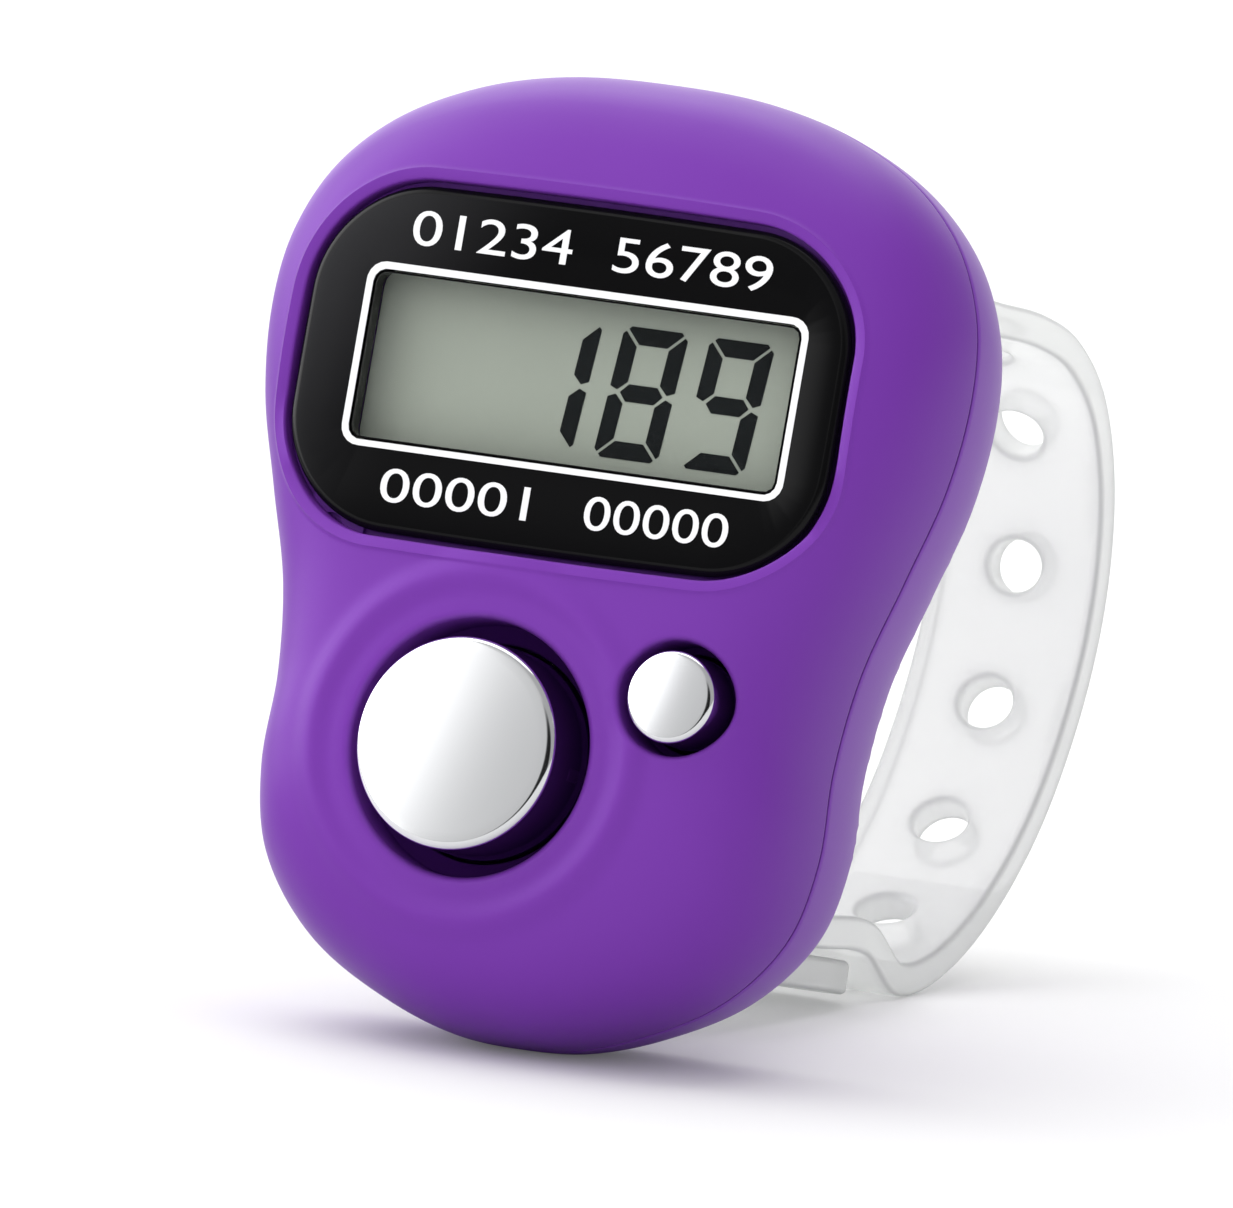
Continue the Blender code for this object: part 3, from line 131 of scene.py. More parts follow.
class Skin:
    # Points (u, depth, w) and the faces between them, grown loop by loop

    def __init__(self):
        self.points = np.zeros((0, 3))
        self.faces = []

    def add(self, loop, depth):
        loop = np.asarray(loop, float)
        depths = np.broadcast_to(np.asarray(depth, float), len(loop))
        start = len(self.points)
        self.points = np.vstack([self.points, np.stack([loop[:, 0], depths, loop[:, 1]], 1)])
        return np.arange(start, len(self.points))

    def strip(self, first, second, closed=True):
        n = len(first)
        for k in range(n if closed else n - 1):
            m = (k + 1) % n
            self.faces.append((first[k], first[m], second[m], second[k]))

    def run(self, start, rings):
        for loop, depth in rings:
            following = self.add(loop, depth)
            if start is not None:
                self.strip(start, following)
            start = following
        return start

    def fan(self, loop, point):
        start = len(self.points)
        self.points = np.vstack([self.points, [point]])
        for k in range(len(loop)):
            self.faces.append((loop[k], loop[(k + 1) % len(loop)], start))

    def fill(self, outer, holes=(), spacing=None, depthAt=None, margin=0.6):
        # Triangles between loops, over a hexagonal grid of points where the surface is curved
        flat = [self.points[i][:, [0, 2]] for i in (outer, *holes)]
        indices = [np.asarray(i) for i in (outer, *holes)]
        if spacing:
            low, high = flat[0].min(0), flat[0].max(0)
            rows = np.arange(low[1], high[1], spacing * 0.866)
            columns = np.arange(low[0], high[0], spacing)
            grid = np.array([(u + spacing / 2 * (k % 2), w) for k, w in enumerate(rows) for u in columns])
            grid = grid[insideLoop(grid, flat[0])]
            for hole in flat[1:]:
                grid = grid[~insideLoop(grid, hole)]
            for loop in flat:
                grid = grid[farFrom(grid, loop, spacing * margin)]
            indices.append(self.add(grid, depthAt(grid[:, 0], grid[:, 1])))
            flat.append(grid)
        edges = []
        start = 0
        for loop in flat[:1 + len(holes)]:
            n = len(loop)
            edges += [(start + k, start + (k + 1) % n) for k in range(n)]
            start += n
        places = np.concatenate(flat)
        known = np.concatenate(indices)
        made = delaunay_2d_cdt([Vector(p) for p in places.tolist()], edges, [], 0, 1e-7)
        names = [known[origin[0]] for origin in made[3]]
        triangles = np.array([[made[3][k][0] for k in face] for face in made[2]])
        middles = places[triangles].mean(1)
        kept = insideLoop(middles, flat[0])
        for hole in flat[1:1 + len(holes)]:
            kept &= ~insideLoop(middles, hole)
        self.faces += [tuple(names[k] for k in face) for face, keep in zip(made[2], kept) if keep]

    def lathe(self, profile, centre, count):
        # Rings of a turned piece; a radius of 0 closes it with a pole
        start = None
        for radius, depth in profile:
            if radius == 0:
                if start is None:
                    pole = (centre[0], depth, centre[1])
                    continue
                self.fan(start, (centre[0], depth, centre[1]))
                continue
            following = self.add(circleLoop(radius, centre, count), depth)
            if start is None and profile[0][0] == 0:
                self.fan(following, pole)
            if start is not None:
                self.strip(start, following)
            start = following

    def tube(self, centre, outer, inner, front, back, count=32):
        rings = [self.add(circleLoop(r, centre, count), y)
                 for r, y in [(outer, front), (outer, back), (inner, back), (inner, front)]]
        for k in range(4):
            self.strip(rings[k], rings[(k + 1) % 4])


def arc(radius, steps):
    # How far in from the side and down from the face a rounded edge is, from the face to the side
    angle = np.linspace(0, pi / 2, steps + 1)
    return [(radius * (1 - np.sin(a)), radius * (1 - np.cos(a))) for a in angle]


def roundedPlate(skin, shapes, front, back, frontEdge, backEdge, steps):
    # A flat plate from its outline and holes, each a function of how far the edge's rounding has gone in
    frontLoops, backLoops = [], []
    for shape in shapes:
        rings = [(shape(inset), front + drop) for inset, drop in arc(frontEdge, steps)]
        rings += [(shape(inset), back - drop) for inset, drop in reversed(arc(backEdge, steps))]
        frontLoops.append(skin.add(*rings[0]))
        backLoops.append(skin.run(frontLoops[-1], rings[1:]))
    for loops in (frontLoops, backLoops):
        skin.fill(loops[0], loops[1:])


def makePiece(name, skin, look, body, nodes=(), sharp=38, solid=None, place=toWorld,
              edgeLook=None):
    mesh = bpy.data.meshes.new(name)
    mesh.from_pydata(place(skin.points).tolist(), [], [tuple(int(i) for i in f) for f in skin.faces])
    work = bmesh.new()
    work.from_mesh(mesh)
    bmesh.ops.recalc_face_normals(work, faces=work.faces)
    work.to_mesh(mesh)
    work.free()
    mesh.shade_smooth()
    mesh.set_sharp_from_angle(angle=radians(sharp))
    made = bpy.data.objects.new(name, mesh)
    bpy.context.scene.collection.objects.link(made)
    mesh.materials.append(look)
    if edgeLook:
        mesh.materials.append(edgeLook)
        for face in mesh.polygons:
            face.material_index = int(abs(face.normal.dot(backward)) < 0.999)
    if solid:
        thick = made.modifiers.new("wall", "SOLIDIFY")
        thick.thickness = solid * 0.001
        thick.offset = -1
    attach(made, body)
    if nodes:
        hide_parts(*nodes)
    return made


# Finishes: base colour and roughness change a little with a noise on object coordinates

def linear(colour):
    return [(c / 255 / 12.92 if c <= 10 else ((c / 255 + 0.055) / 1.055) ** 2.4) for c in colour]


def makeLook(name, colour, roughness, metallic=0.0, grain=400, change=0.05, bump=0.0, **sockets):
    look = bpy.data.materials.new(name)
    look.use_nodes = True
    nodes, links = look.node_tree.nodes, look.node_tree.links
    shader = nodes["Principled BSDF"]
    base = (*linear(colour), 1)
    shader.inputs["Base Color"].default_value = base
    shader.inputs["Roughness"].default_value = roughness
    shader.inputs["Metallic"].default_value = metallic
    for socket, value in sockets.items():
        shader.inputs[socket.replace("_", " ")].default_value = value
    place = nodes.new("ShaderNodeTexCoord")
    noise = nodes.new("ShaderNodeTexNoise")
    noise.inputs["Scale"].default_value = grain
    noise.inputs["Detail"].default_value = 4
    links.new(place.outputs["Object"], noise.inputs["Vector"])
    tone = nodes.new("ShaderNodeMix")
    tone.data_type = "RGBA"
    tone.inputs[6].default_value = (*[c * (1 - change) for c in base[:3]], 1)
    tone.inputs[7].default_value = (*[min(c * (1 + change), 1) for c in base[:3]], 1)
    links.new(noise.outputs["Fac"], tone.inputs[0])
    links.new(tone.outputs[2], shader.inputs["Base Color"])
    rough = nodes.new("ShaderNodeMapRange")
    rough.inputs["To Min"].default_value = roughness * 0.85
    rough.inputs["To Max"].default_value = min(roughness * 1.15, 1)
    links.new(noise.outputs["Fac"], rough.inputs["Value"])
    links.new(rough.outputs["Result"], shader.inputs["Roughness"])
    if bump:
        fine = nodes.new("ShaderNodeTexNoise")
        fine.inputs["Scale"].default_value = grain * 14
        links.new(place.outputs["Object"], fine.inputs["Vector"])
        relief = nodes.new("ShaderNodeBump")
        relief.inputs["Strength"].default_value = bump
        relief.inputs["Distance"].default_value = 0.00002
        links.new(fine.outputs["Fac"], relief.inputs["Height"])
        links.new(relief.outputs["Normal"], shader.inputs["Normal"])
    return look


def seeThrough(look, share, index):
    # Light passes straight on through a share of the piece, and the rest keeps its gloss
    nodes, links = look.node_tree.nodes, look.node_tree.links
    shader = nodes["Principled BSDF"]
    output = nodes["Material Output"]
    clear = nodes.new("ShaderNodeBsdfTransparent")
    mixed = nodes.new("ShaderNodeMixShader")
    layer = nodes.new("ShaderNodeFresnel")
    layer.inputs["IOR"].default_value = index
    held = nodes.new("ShaderNodeMath")
    held.operation = "MAXIMUM"
    held.inputs[1].default_value = 1 - share
    links.new(layer.outputs["Fac"], held.inputs[0])
    links.new(held.outputs["Value"], mixed.inputs["Fac"])
    links.new(clear.outputs["BSDF"], mixed.inputs[1])
    links.new(shader.outputs["BSDF"], mixed.inputs[2])
    links.new(mixed.outputs["Shader"], output.inputs["Surface"])
    return look


def passLight(look, colour, share):
    # A share of the light that falls on the far side comes through, scattered
    nodes, links = look.node_tree.nodes, look.node_tree.links
    mixer = [node for node in nodes if node.bl_idname == "ShaderNodeMixShader"][0]
    milky = nodes.new("ShaderNodeBsdfTranslucent")
    milky.inputs["Color"].default_value = (*linear(colour), 1)
    added = nodes.new("ShaderNodeMixShader")
    added.inputs["Fac"].default_value = share
    links.new(nodes["Principled BSDF"].outputs["BSDF"], added.inputs[1])
    links.new(milky.outputs["BSDF"], added.inputs[2])
    links.new(added.outputs["Shader"], mixer.inputs[2])
    return look


def markedTone(look, mark, targets, colour):
    # Where the mesh's own attribute marks painted shade, a colour goes over to a shaded tone
    nodes, links = look.node_tree.nodes, look.node_tree.links
    marked = nodes.new("ShaderNodeAttribute")
    marked.attribute_name = mark
    for target in targets:
        tone = nodes.new("ShaderNodeMix")
        tone.data_type = "RGBA"
        tone.inputs[6].default_value = target.default_value
        tone.inputs[7].default_value = (*linear(colour), 1)
        links.new(marked.outputs["Fac"], tone.inputs[0])
        if target.links:
            links.new(target.links[0].from_socket, tone.inputs[6])
        links.new(tone.outputs[2], target)
    return marked


def paintCornerShade(look, colour, share):
    # Painted shade: the rounded corners are greyer and hold back more light
    nodes, links = look.node_tree.nodes, look.node_tree.links
    targets = (nodes["Principled BSDF"].inputs["Base Color"], nodes["Translucent BSDF"].inputs["Color"])
    corner = markedTone(look, "corner", targets, colour)
    mixer = nodes["Material Output"].inputs["Surface"].links[0].from_node
    held = mixer.inputs["Fac"].links[0].from_socket
    heldMore = nodes.new("ShaderNodeMath")
    heldMore.operation = "MULTIPLY_ADD"
    heldMore.inputs[1].default_value = share
    links.new(corner.outputs["Fac"], heldMore.inputs[0])
    links.new(held, heldMore.inputs[2])
    heldMore.use_clamp = True
    links.new(heldMore.outputs["Value"], mixer.inputs["Fac"])
    return look


def paintRecessShade(look, colour):
    # Painted shade: the wells' walls and floors and the display's pocket are darker and don't shine
    nodes, links = look.node_tree.nodes, look.node_tree.links
    shader = nodes["Principled BSDF"]
    recessShade = markedTone(look, "recessShade", [shader.inputs["Base Color"]], colour)
    shine = shader.inputs["Specular IOR Level"]
    dull = nodes.new("ShaderNodeMath")
    dull.operation = "MULTIPLY_ADD"
    dull.use_clamp = True
    dull.inputs[1].default_value = -shine.default_value
    dull.inputs[2].default_value = shine.default_value
    links.new(recessShade.outputs["Fac"], dull.inputs[0])
    links.new(dull.outputs["Value"], shine)


def paintedShadeGradient(look, dark, width, centre, direction):
    # Painted light and shade: base colour falls from its own tone to the dark one along a direction of the
    # case frame
    nodes, links = look.node_tree.nodes, look.node_tree.links
    shader = nodes["Principled BSDF"]
    first = shader.inputs["Base Color"].links[0].from_socket
    place = nodes.new("ShaderNodeTexCoord")
    along = nodes.new("ShaderNodeVectorMath")
    along.operation = "DOT_PRODUCT"
    turned = leaning @ Vector(direction).normalized()
    along.inputs[1].default_value = turned
    links.new(place.outputs["Object"], along.inputs[0])
    spot = Vector(toWorld([centre])[0]).dot(turned)
    ramp = nodes.new("ShaderNodeMapRange")
    ramp.interpolation_type = "SMOOTHSTEP"
    ramp.inputs["From Min"].default_value = spot - width * 0.001
    ramp.inputs["From Max"].default_value = spot + width * 0.001
    links.new(along.outputs["Value"], ramp.inputs["Value"])
    tone = nodes.new("ShaderNodeMix")
    tone.data_type = "RGBA"
    tone.inputs[7].default_value = (*linear(dark), 1)
    links.new(ramp.outputs["Result"], tone.inputs[0])
    links.new(first, tone.inputs[6])
    links.new(tone.outputs[2], shader.inputs["Base Color"])
    return look


purple = makeLook("purpleSatin", (112, 50, 160), 0.38, grain=90, change=0.03, bump=0.15,
                  Specular_IOR_Level=0.16)
# Painted shade: the wells and the display's pocket go over to a dark purple without shine
paintRecessShade(purple, (50, 18, 80))
rearPurple = makeLook("rearPurpleSatin", (122, 64, 170), 0.40, grain=90, change=0.03, bump=0.15,
                      Specular_IOR_Level=0.2)
blackGloss = makeLook("blackGloss", (52, 52, 54), 0.14, grain=120, change=0.06, Specular_IOR_Level=0.03)
# Black of the panel's sides, and painted shade on the clear pane's sides
blackEdgeAndShade = makeLook("blackEdgeAndShade", (12, 12, 13), 0.2, grain=120, change=0.06, Specular_IOR_Level=0.12)
whitePrint = makeLook("whitePrint", (236, 236, 238), 0.5, grain=2500, change=0.03)
clearPane = seeThrough(makeLook("clearPane", (240, 244, 242), 0.04, grain=200, change=0.02), 0.995, 1.12)
displayFilm = makeLook("displayFilm", (159, 166, 155), 0.45, grain=4000, change=0.02, Specular_IOR_Level=0.1)
displayGlass = seeThrough(makeLook("displayGlass", (200, 208, 198), 0.06, grain=200, change=0.02), 0.9, 1.4)
reflectorFoil = makeLook("reflectorFoil", (190, 197, 184), 0.6, grain=4000, change=0.03)
darkSegment = makeLook("darkSegment", (12, 16, 18), 0.6, grain=900, change=0.1, Specular_IOR_Level=0.02)
clearStrap = seeThrough(makeLook("clearStrap", (238, 239, 238), 0.30, grain=160, change=0.02), 0.42, 1.3)
passLight(clearStrap, (244, 245, 244), 0.5)
# Painted shade along the strap's rounded corners and hole rims
paintCornerShade(clearStrap, (200, 201, 201), 0.4)
boardGreen = makeLook("boardGreen", (28, 84, 48), 0.45, grain=900, change=0.12)
blackResin = makeLook("blackResin", (18, 18, 20), 0.28, grain=600, change=0.15)
darkRubber = makeLook("darkRubber", (60, 60, 64), 0.72, grain=2200, change=0.12, bump=0.3)
greyFoam = makeLook("greyFoam", (110, 110, 112), 0.92, grain=5200, change=0.3, bump=0.8)
carbonBlack = makeLook("carbonBlack", (25, 25, 26), 0.85, grain=5200, change=0.25)
chipTan = makeLook("chipTan", (172, 140, 96), 0.5, grain=1800, change=0.1)
chipBlack = makeLook("chipBlack", (30, 30, 32), 0.5, grain=1800, change=0.15)
cellSteel = makeLook("cellSteel", (189, 191, 193), 0.26, metallic=1.0, grain=1500, change=0.07)
contactMetal = makeLook("contactMetal", (205, 197, 176), 0.3, metallic=1.0, grain=1500, change=0.07)
screwSteel = makeLook("screwSteel", (150, 152, 156), 0.34, metallic=1.0, grain=1500, change=0.1)
print("finishes made")


# Case outline and the depth of the two halves

case = dict(width=30.23, height=39.96, seam=0.05, frontDepth=6.4, crown=0.6, power=10, rearDepth=5.8,
            rearFlat=0.87, wall=0.5, points=400, innerShare=0.92, rearInnerShare=0.955, spacing=0.3)
outlineShares = [(0, .985), (.290, .973), (.525, .929), (.745, .844), (.890, .734), (.975, .595), (1, .450),
                 (.975, .250), (.899, .050), (.820, -.150), (.787, -.350), (.789, -.550), (.738, -.710),
                 (.587, -.850), (.362, -.945), (.165, -.992), (0, -1)]
rightSide = np.array(outlineShares) * [case["width"] / 2, case["height"] / 2]
leftSide = rightSide[-2:0:-1] * [-1, 1]
caseLoop = evenly(smoothLine(np.vstack([rightSide, leftSide]), 40, closed=True), case["points"])
outlineAngle = np.arctan2(caseLoop[:, 1], caseLoop[:, 0])
byAngle = np.argsort(outlineAngle)


def outlineShare(u, w):
    reach = np.interp(np.arctan2(w, u), outlineAngle[byAngle],
                      np.linalg.norm(caseLoop, axis=1)[byAngle], period=2 * pi)
    return np.hypot(u, w) / reach


panel = dict(width=23.6, height=14.0, radius=4.6, bulge=0.016, centre=(0, 6.7), face=6.05, back=5.25,
             edge=0.32, backEdge=0.06, sillShare=0.15)
recess = dict(clearance=0.25, crest=0.70, crestHeight=0.09, crestWidth=0.20, drop=0.06, floor=5.15,
              ledge=4.7)
window = dict(width=19.1, height=7.0, radius=0.55, centre=(0.3, 6.7))
count = dict(centre=(-1.26, -8.65), radius=4.36, well=5.26, fillet=0.35, face=8.39, edge=0.32, crown=0.08,
             flange=5.0, flangeFront=3.7, flangeBack=2.9, hollow=3.8, ceiling=3.9, ring=7.1,
             ringWidth=1.9, ringHeight=0.2, floorBack=3.8, points=200)
reset = dict(centre=(7.3, -5.52), radius=1.9, well=2.35, fillet=0.28, face=7.35, edge=0.24, crown=0.05,
             flange=2.35, flangeFront=3.8, flangeBack=3.0, hollow=1.65, ceiling=3.8, floorBack=3.9,
             points=112)
screwPlaces = ((-8.6, 13.9), (8.6, 13.9), (-7.2, -12.6), (7.2, -12.6))
postPlaces = ((-9.6, -0.4), (9.6, -0.4), (5.4, -9.4))
boss = dict(radius=2.0, hole=0.7, front=-5.0, back=1.0)
post = dict(radius=1.5, hole=0.55, front=-5.4, back=-0.8)


def panelLoop(offset):
    return roundedLoop(panel["width"] + 2 * offset, panel["height"] + 2 * offset, panel["radius"] + offset,
                       panel["bulge"], panel["centre"], 440)


def windowLoop(offset, points=180):
    return roundedLoop(window["width"] + 2 * offset, window["height"] + 2 * offset,
                       window["radius"] + offset, 0.0, window["centre"], points)


def frontDepthAt(u, w):
    # 6.4 sqrt(1 - f^10) + 0.6 (1 - f^2), f = share of the outline; plus a cosine ring round the count
    # button and a rise towards the crest of the panel's recess
    f = np.minimum(outlineShare(u, w), 1)
    depth = case["seam"] + case["frontDepth"] * np.sqrt(1 - f ** case["power"]) + case["crown"] * (1 - f ** 2)
    away = np.hypot(u - count["centre"][0], w - count["centre"][1]) - count["ring"]
    inRing = np.clip(np.abs(away) / (count["ringWidth"] / 2), 0, 1)
    depth += count["ringHeight"] * (0.5 + 0.5 * np.cos(pi * inRing))
    crest = panelLoop(recess["crest"])
    far = np.array([np.hypot(crest[:, 0] - a, crest[:, 1] - b).min() for a, b in zip(u, w)])
    depth += recess["crestHeight"] * np.clip(1 - far / recess["crestWidth"], 0, 1) ** 2
    return -depth


# Front half: rounded side, soft face, the panel's recess and two button wells
front = Skin()
seamRows = [(0.10, 0.0), (0.03, 0.03), (0.0, 0.10)]
rows = [(offsetLoop(caseLoop, inset), -(case["seam"] + depth)) for inset, depth in seamRows]
for angle in np.linspace(radians(88.6), np.arcsin(case["innerShare"] ** (case["power"] / 2)), 30):
    f = np.sin(angle) ** (2 / case["power"])
    depth = case["seam"] + case["frontDepth"] * np.cos(angle) + case["crown"] * (1 - f ** 2)
    rows.append((caseLoop * f, -depth))
lastRow = front.run(None, rows)

rise = [panelLoop(recess["crest"] + offset) for offset in (0.5, 0.3, 0.2, 0.15, 0.1, 0.05, 0)]
rise = [(loop, frontDepthAt(loop[:, 0], loop[:, 1])) for loop in rise]
riseRow = front.add(*rise[0])
crestRow = front.run(riseRow, rise[1:])
crestDepth = rise[-1][1]
slope = []
drop = np.minimum(recess["drop"], -crestDepth - panel["face"] + 0.12)
for t in np.linspace(0, 1, 9)[1:]:
    offset = recess["crest"] + (recess["clearance"] + 0.06 - recess["crest"]) * t
    slope.append((panelLoop(offset), crestDepth + drop * (0.4 * t + 0.6 * t ** 2)))
slope.append((panelLoop(recess["clearance"] + 0.01), crestDepth + drop + 0.06))
slope.append((panelLoop(recess["clearance"]), crestDepth + drop + 0.16))
slope.append((panelLoop(recess["clearance"]), -recess["floor"]))
shelf = front.run(crestRow, slope)
pocketRow = front.add(windowLoop(0.75), -recess["floor"])
front.run(pocketRow, [(windowLoop(0.75), -recess["ledge"]), (windowLoop(0.3), -recess["ledge"])])
front.fill(shelf, [pocketRow])

wellRows = []
for button in (count, reset):
    def ringOf(radius, button=button):
        return circleLoop(radius, button["centre"], button["points"])
    rim = ringOf(button["well"] + button["fillet"])
    rimDepth = frontDepthAt(rim[:, 0], rim[:, 1])
    wellRows.append(front.add(rim, rimDepth))
    well, cap = button["well"], button["radius"]
    rings = [(ringOf(well + inset), rimDepth + down) for inset, down in arc(button["fillet"], 6)[1:]]
    # down the wall, over the floor and into the bore that keeps 0.15 mm off the cap
    for radius, depth in ((well, 4.72), (well - 0.035, 4.635), (well - 0.12, 4.6), (cap + 0.21, 4.6),
                          (cap + 0.16, 4.55), (cap + 0.15, button["floorBack"])):
        rings.append((ringOf(radius), -depth))
    front.run(wellRows[-1], rings)
front.fill(lastRow, [riseRow, *wellRows], case["spacing"], frontDepthAt)
for places, pillar in ((screwPlaces, boss), (postPlaces, post)):
    for place in places:
        front.tube(place, pillar["radius"], pillar["hole"], pillar["front"], pillar["back"])
tongue = [front.add(offsetLoop(caseLoop, inset), depth)
          for inset, depth in ((0.58, -0.7), (0.58, 0.5), (0.95, 0.5), (0.95, -0.7))]
for k in range(4):
    front.strip(tongue[k], tongue[(k + 1) % 4])
made = makePiece("caseFront", front, purple, "case_body", ["front_case"],
                 solid=case["wall"])


def recessShadeMarks(points):
    # Painted shade: 1 in the display's pocket and at the foot of the wells, 0.7 at their upper edge, 0 on the
    # face
    u, y, w = points.T
    marks = (np.abs(u - window["centre"][0]) < window["width"] / 2 + 0.8).astype(float)
    marks *= np.abs(w - window["centre"][1]) < window["height"] / 2 + 0.8
    for button in (count, reset):
        soft = 0.6 * button["fillet"]
        away = np.hypot(u - button["centre"][0], w - button["centre"][1])
        marks += np.clip((button["well"] + soft - away) / soft, 0, 1) * np.where(y < -5, 0.7, 1.0)
    return marks


# The painted shade marks go on the front half's points
made.data.attributes.new("recessShade", "FLOAT", "POINT").data.foreach_set("value", recessShadeMarks(front.points))
print("front half made:", len(front.faces), "faces")


# Rear half: rounded edge, flat back, the door's seat, four screw wells and two strap slots
rearHole = dict(screwWell=1.6, screwFillet=0.15, screwSteps=((1.6, 2.0), (0.85, 2.0), (0.85, 1.4)),
                door=(0.0, 1.0), doorWell=7.1, doorFillet=0.12,
                doorSteps=((7.1, 4.95), (6.25, 4.95), (6.25, 4.5), (6.02, 4.4), (6.02, 0.7)),
                slotWidth=8.3, slotHeight=1.7, slotRadius=0.5, slots=(14.3, -14.2), slotFillet=0.22,
                slotBack=4.5)
rearEdge = 1 - case["rearFlat"]


def rearDepthAt(u, w):
    # f = 0.87 + 0.13 cos a, depth = 0.05 + 5.75 sin a, flat inside f = 0.87
    f = np.clip((outlineShare(u, w) - case["rearFlat"]) / rearEdge, 0, 1)
    return case["seam"] + (case["rearDepth"] - case["seam"]) * np.sqrt(1 - f ** 2)


rear = Skin()
rows = [(offsetLoop(caseLoop, inset), case["seam"] + depth) for inset, depth in seamRows]
for angle in np.linspace(radians(3), np.arccos((case["rearInnerShare"] - case["rearFlat"]) / rearEdge), 20):
    rows.append((caseLoop * (case["rearFlat"] + rearEdge * np.cos(angle)),
                 case["seam"] + (case["rearDepth"] - case["seam"]) * np.sin(angle)))
lastRow = rear.run(None, rows)
holeRows = []
for place in screwPlaces:
    rim = circleLoop(rearHole["screwWell"] + rearHole["screwFillet"], place, 64)
    depth = rearDepthAt(rim[:, 0], rim[:, 1])
    holeRows.append(rear.add(rim, depth))
    rings = [(circleLoop(rearHole["screwWell"] + inset, place, 64), depth - down)
             for inset, down in arc(rearHole["screwFillet"], 4)[1:]]
    rings += [(circleLoop(radius, place, 64), at) for radius, at in rearHole["screwSteps"]]
    rear.run(holeRows[-1], rings)
rings = [(circleLoop(rearHole["doorWell"] + inset, rearHole["door"], 160), case["rearDepth"] - down)
         for inset, down in arc(rearHole["doorFillet"], 4)]
rings += [(circleLoop(radius, rearHole["door"], 160), at) for radius, at in rearHole["doorSteps"]]
holeRows.append(rear.add(*rings[0]))
rear.run(holeRows[-1], rings[1:])
for height in rearHole["slots"]:
    def slotLoop(grow, height=height):
        return roundedLoop(rearHole["slotWidth"] + 2 * grow, rearHole["slotHeight"] + 2 * grow,
                           rearHole["slotRadius"] + grow, 0.0, (0, height), 96)
    rings = [(slotLoop(inset), case["rearDepth"] - down) for inset, down in arc(rearHole["slotFillet"], 4)]
    holeRows.append(rear.add(*rings[0]))
    rear.run(holeRows[-1], rings[1:] + [(slotLoop(0), rearHole["slotBack"])])
rear.fill(lastRow, holeRows, 0.4, rearDepthAt)
makePiece("caseRear", rear, rearPurple, "case_body", ["rear_case"], solid=case["wall"])
print("rear half made:", len(rear.faces), "faces")


# Display panel with its printed frame and numbers
plate = Skin()
roundedPlate(plate, (lambda inset: panelLoop(-inset), lambda inset: windowLoop(inset * panel["sillShare"])),
             -panel["face"], -panel["back"], panel["edge"], panel["backEdge"], 7)
# Painted sheen and shade: the panel is lighter at the upper left and falls to near black towards the lower
# right
paintedShadeGradient(blackGloss, (11, 11, 12), 5.5, (-8.5, -6.05, 10.5), (1, 0, -0.55))
makePiece("displayPanel", plate, blackGloss, "case_body", ["bezel_panel"], sharp=50,
          edgeLook=blackEdgeAndShade)

printed = dict(height=0.02, sink=0.02, width=19.7, tall=7.57, radius=0.8, centre=(0.3, 6.72))
lineFrame = Skin()
levels = [-panel["face"] - rise for rise in (-printed["sink"], printed["height"])]
edgeLoop = roundedLoop(printed["width"], printed["tall"], printed["radius"], 0.0, printed["centre"], 200)
outer = [lineFrame.add(edgeLoop, level) for level in levels]
inner = [lineFrame.add(windowLoop(0.01, 200), level) for level in levels]
for first, second in ((outer[0], outer[1]), (outer[1], inner[1]), (inner[1], inner[0]), (inner[0], outer[0])):
    lineFrame.strip(first, second)
makePiece("printedFrame", lineFrame, whitePrint, "case_body")


def makeNumbers(name, text, centre, width, height):
    # Outlines of plain numerals, fitted to a width and a height on the panel
    curve = bpy.data.curves.new(name, "FONT")
    curve.body = text
    curve.extrude = 0.01
    curve.resolution_u = 6
    letters = bpy.data.objects.new(name + "Letters", curve)
    bpy.context.scene.collection.objects.link(letters)
    bpy.context.view_layer.update()
    shape = letters.evaluated_get(bpy.context.evaluated_depsgraph_get()).to_mesh()
    at = np.array([v.co[:] for v in shape.vertices])
    faces = [tuple(p.vertices) for p in shape.polygons]
    bpy.data.objects.remove(letters, do_unlink=True)
    low, high = at.min(0), at.max(0)
    u = (at[:, 0] - (low[0] + high[0]) / 2) / (high[0] - low[0]) * width + centre[0]
    w = (at[:, 1] - (low[1] + high[1]) / 2) / (high[1] - low[1]) * height + centre[1]
    depth = -panel["face"] - np.where(at[:, 2] > 0, printed["height"], -printed["sink"])
    skin = Skin()
    skin.points = np.stack([u, depth, w], 1)
    skin.faces = faces
    makePiece(name, skin, whitePrint, "case_body", sharp=30)


makeNumbers("topNumbers", "01234  56789", (0.1, 12.05), 16.0, 1.45)
makeNumbers("countNumbers", "00001", (-4.1, 1.5), 6.6, 1.4)
makeNumbers("resetNumbers", "00000", (4.9, 1.5), 6.4, 1.4)

pane = dict(play=0.05, face=6.0, edge=0.08, flange=0.7, step=5.15, back=4.75)
paneSkin = Skin()
rings = [(windowLoop(-pane["play"] - inset), -pane["face"] + down) for inset, down in arc(pane["edge"], 3)]
rings += [(windowLoop(offset), -depth) for offset, depth in ((-pane["play"], pane["step"]),
          (pane["flange"], pane["step"]), (pane["flange"], pane["back"]))]
faceRow = paneSkin.add(*rings[0])
backRow = paneSkin.run(faceRow, rings[1:])
paneSkin.fill(faceRow)
paneSkin.fill(backRow)
# Painted shade: the pane's sides take the black edge finish, dark as the shadow in the window
makePiece("windowPane", paneSkin, clearPane, "case_body", ["window_pane"], edgeLook=blackEdgeAndShade)

# Segments of the three digits, mitred at 45 degrees, their outer corners cut off and leaning over
digit = dict(height=5.43, width=2.87, pitch=3.83, thick=0.72, gap=0.09, cut=0.33, slant=radians(4.8),
             right=7.5, base=3.98, front=4.18, back=4.155)


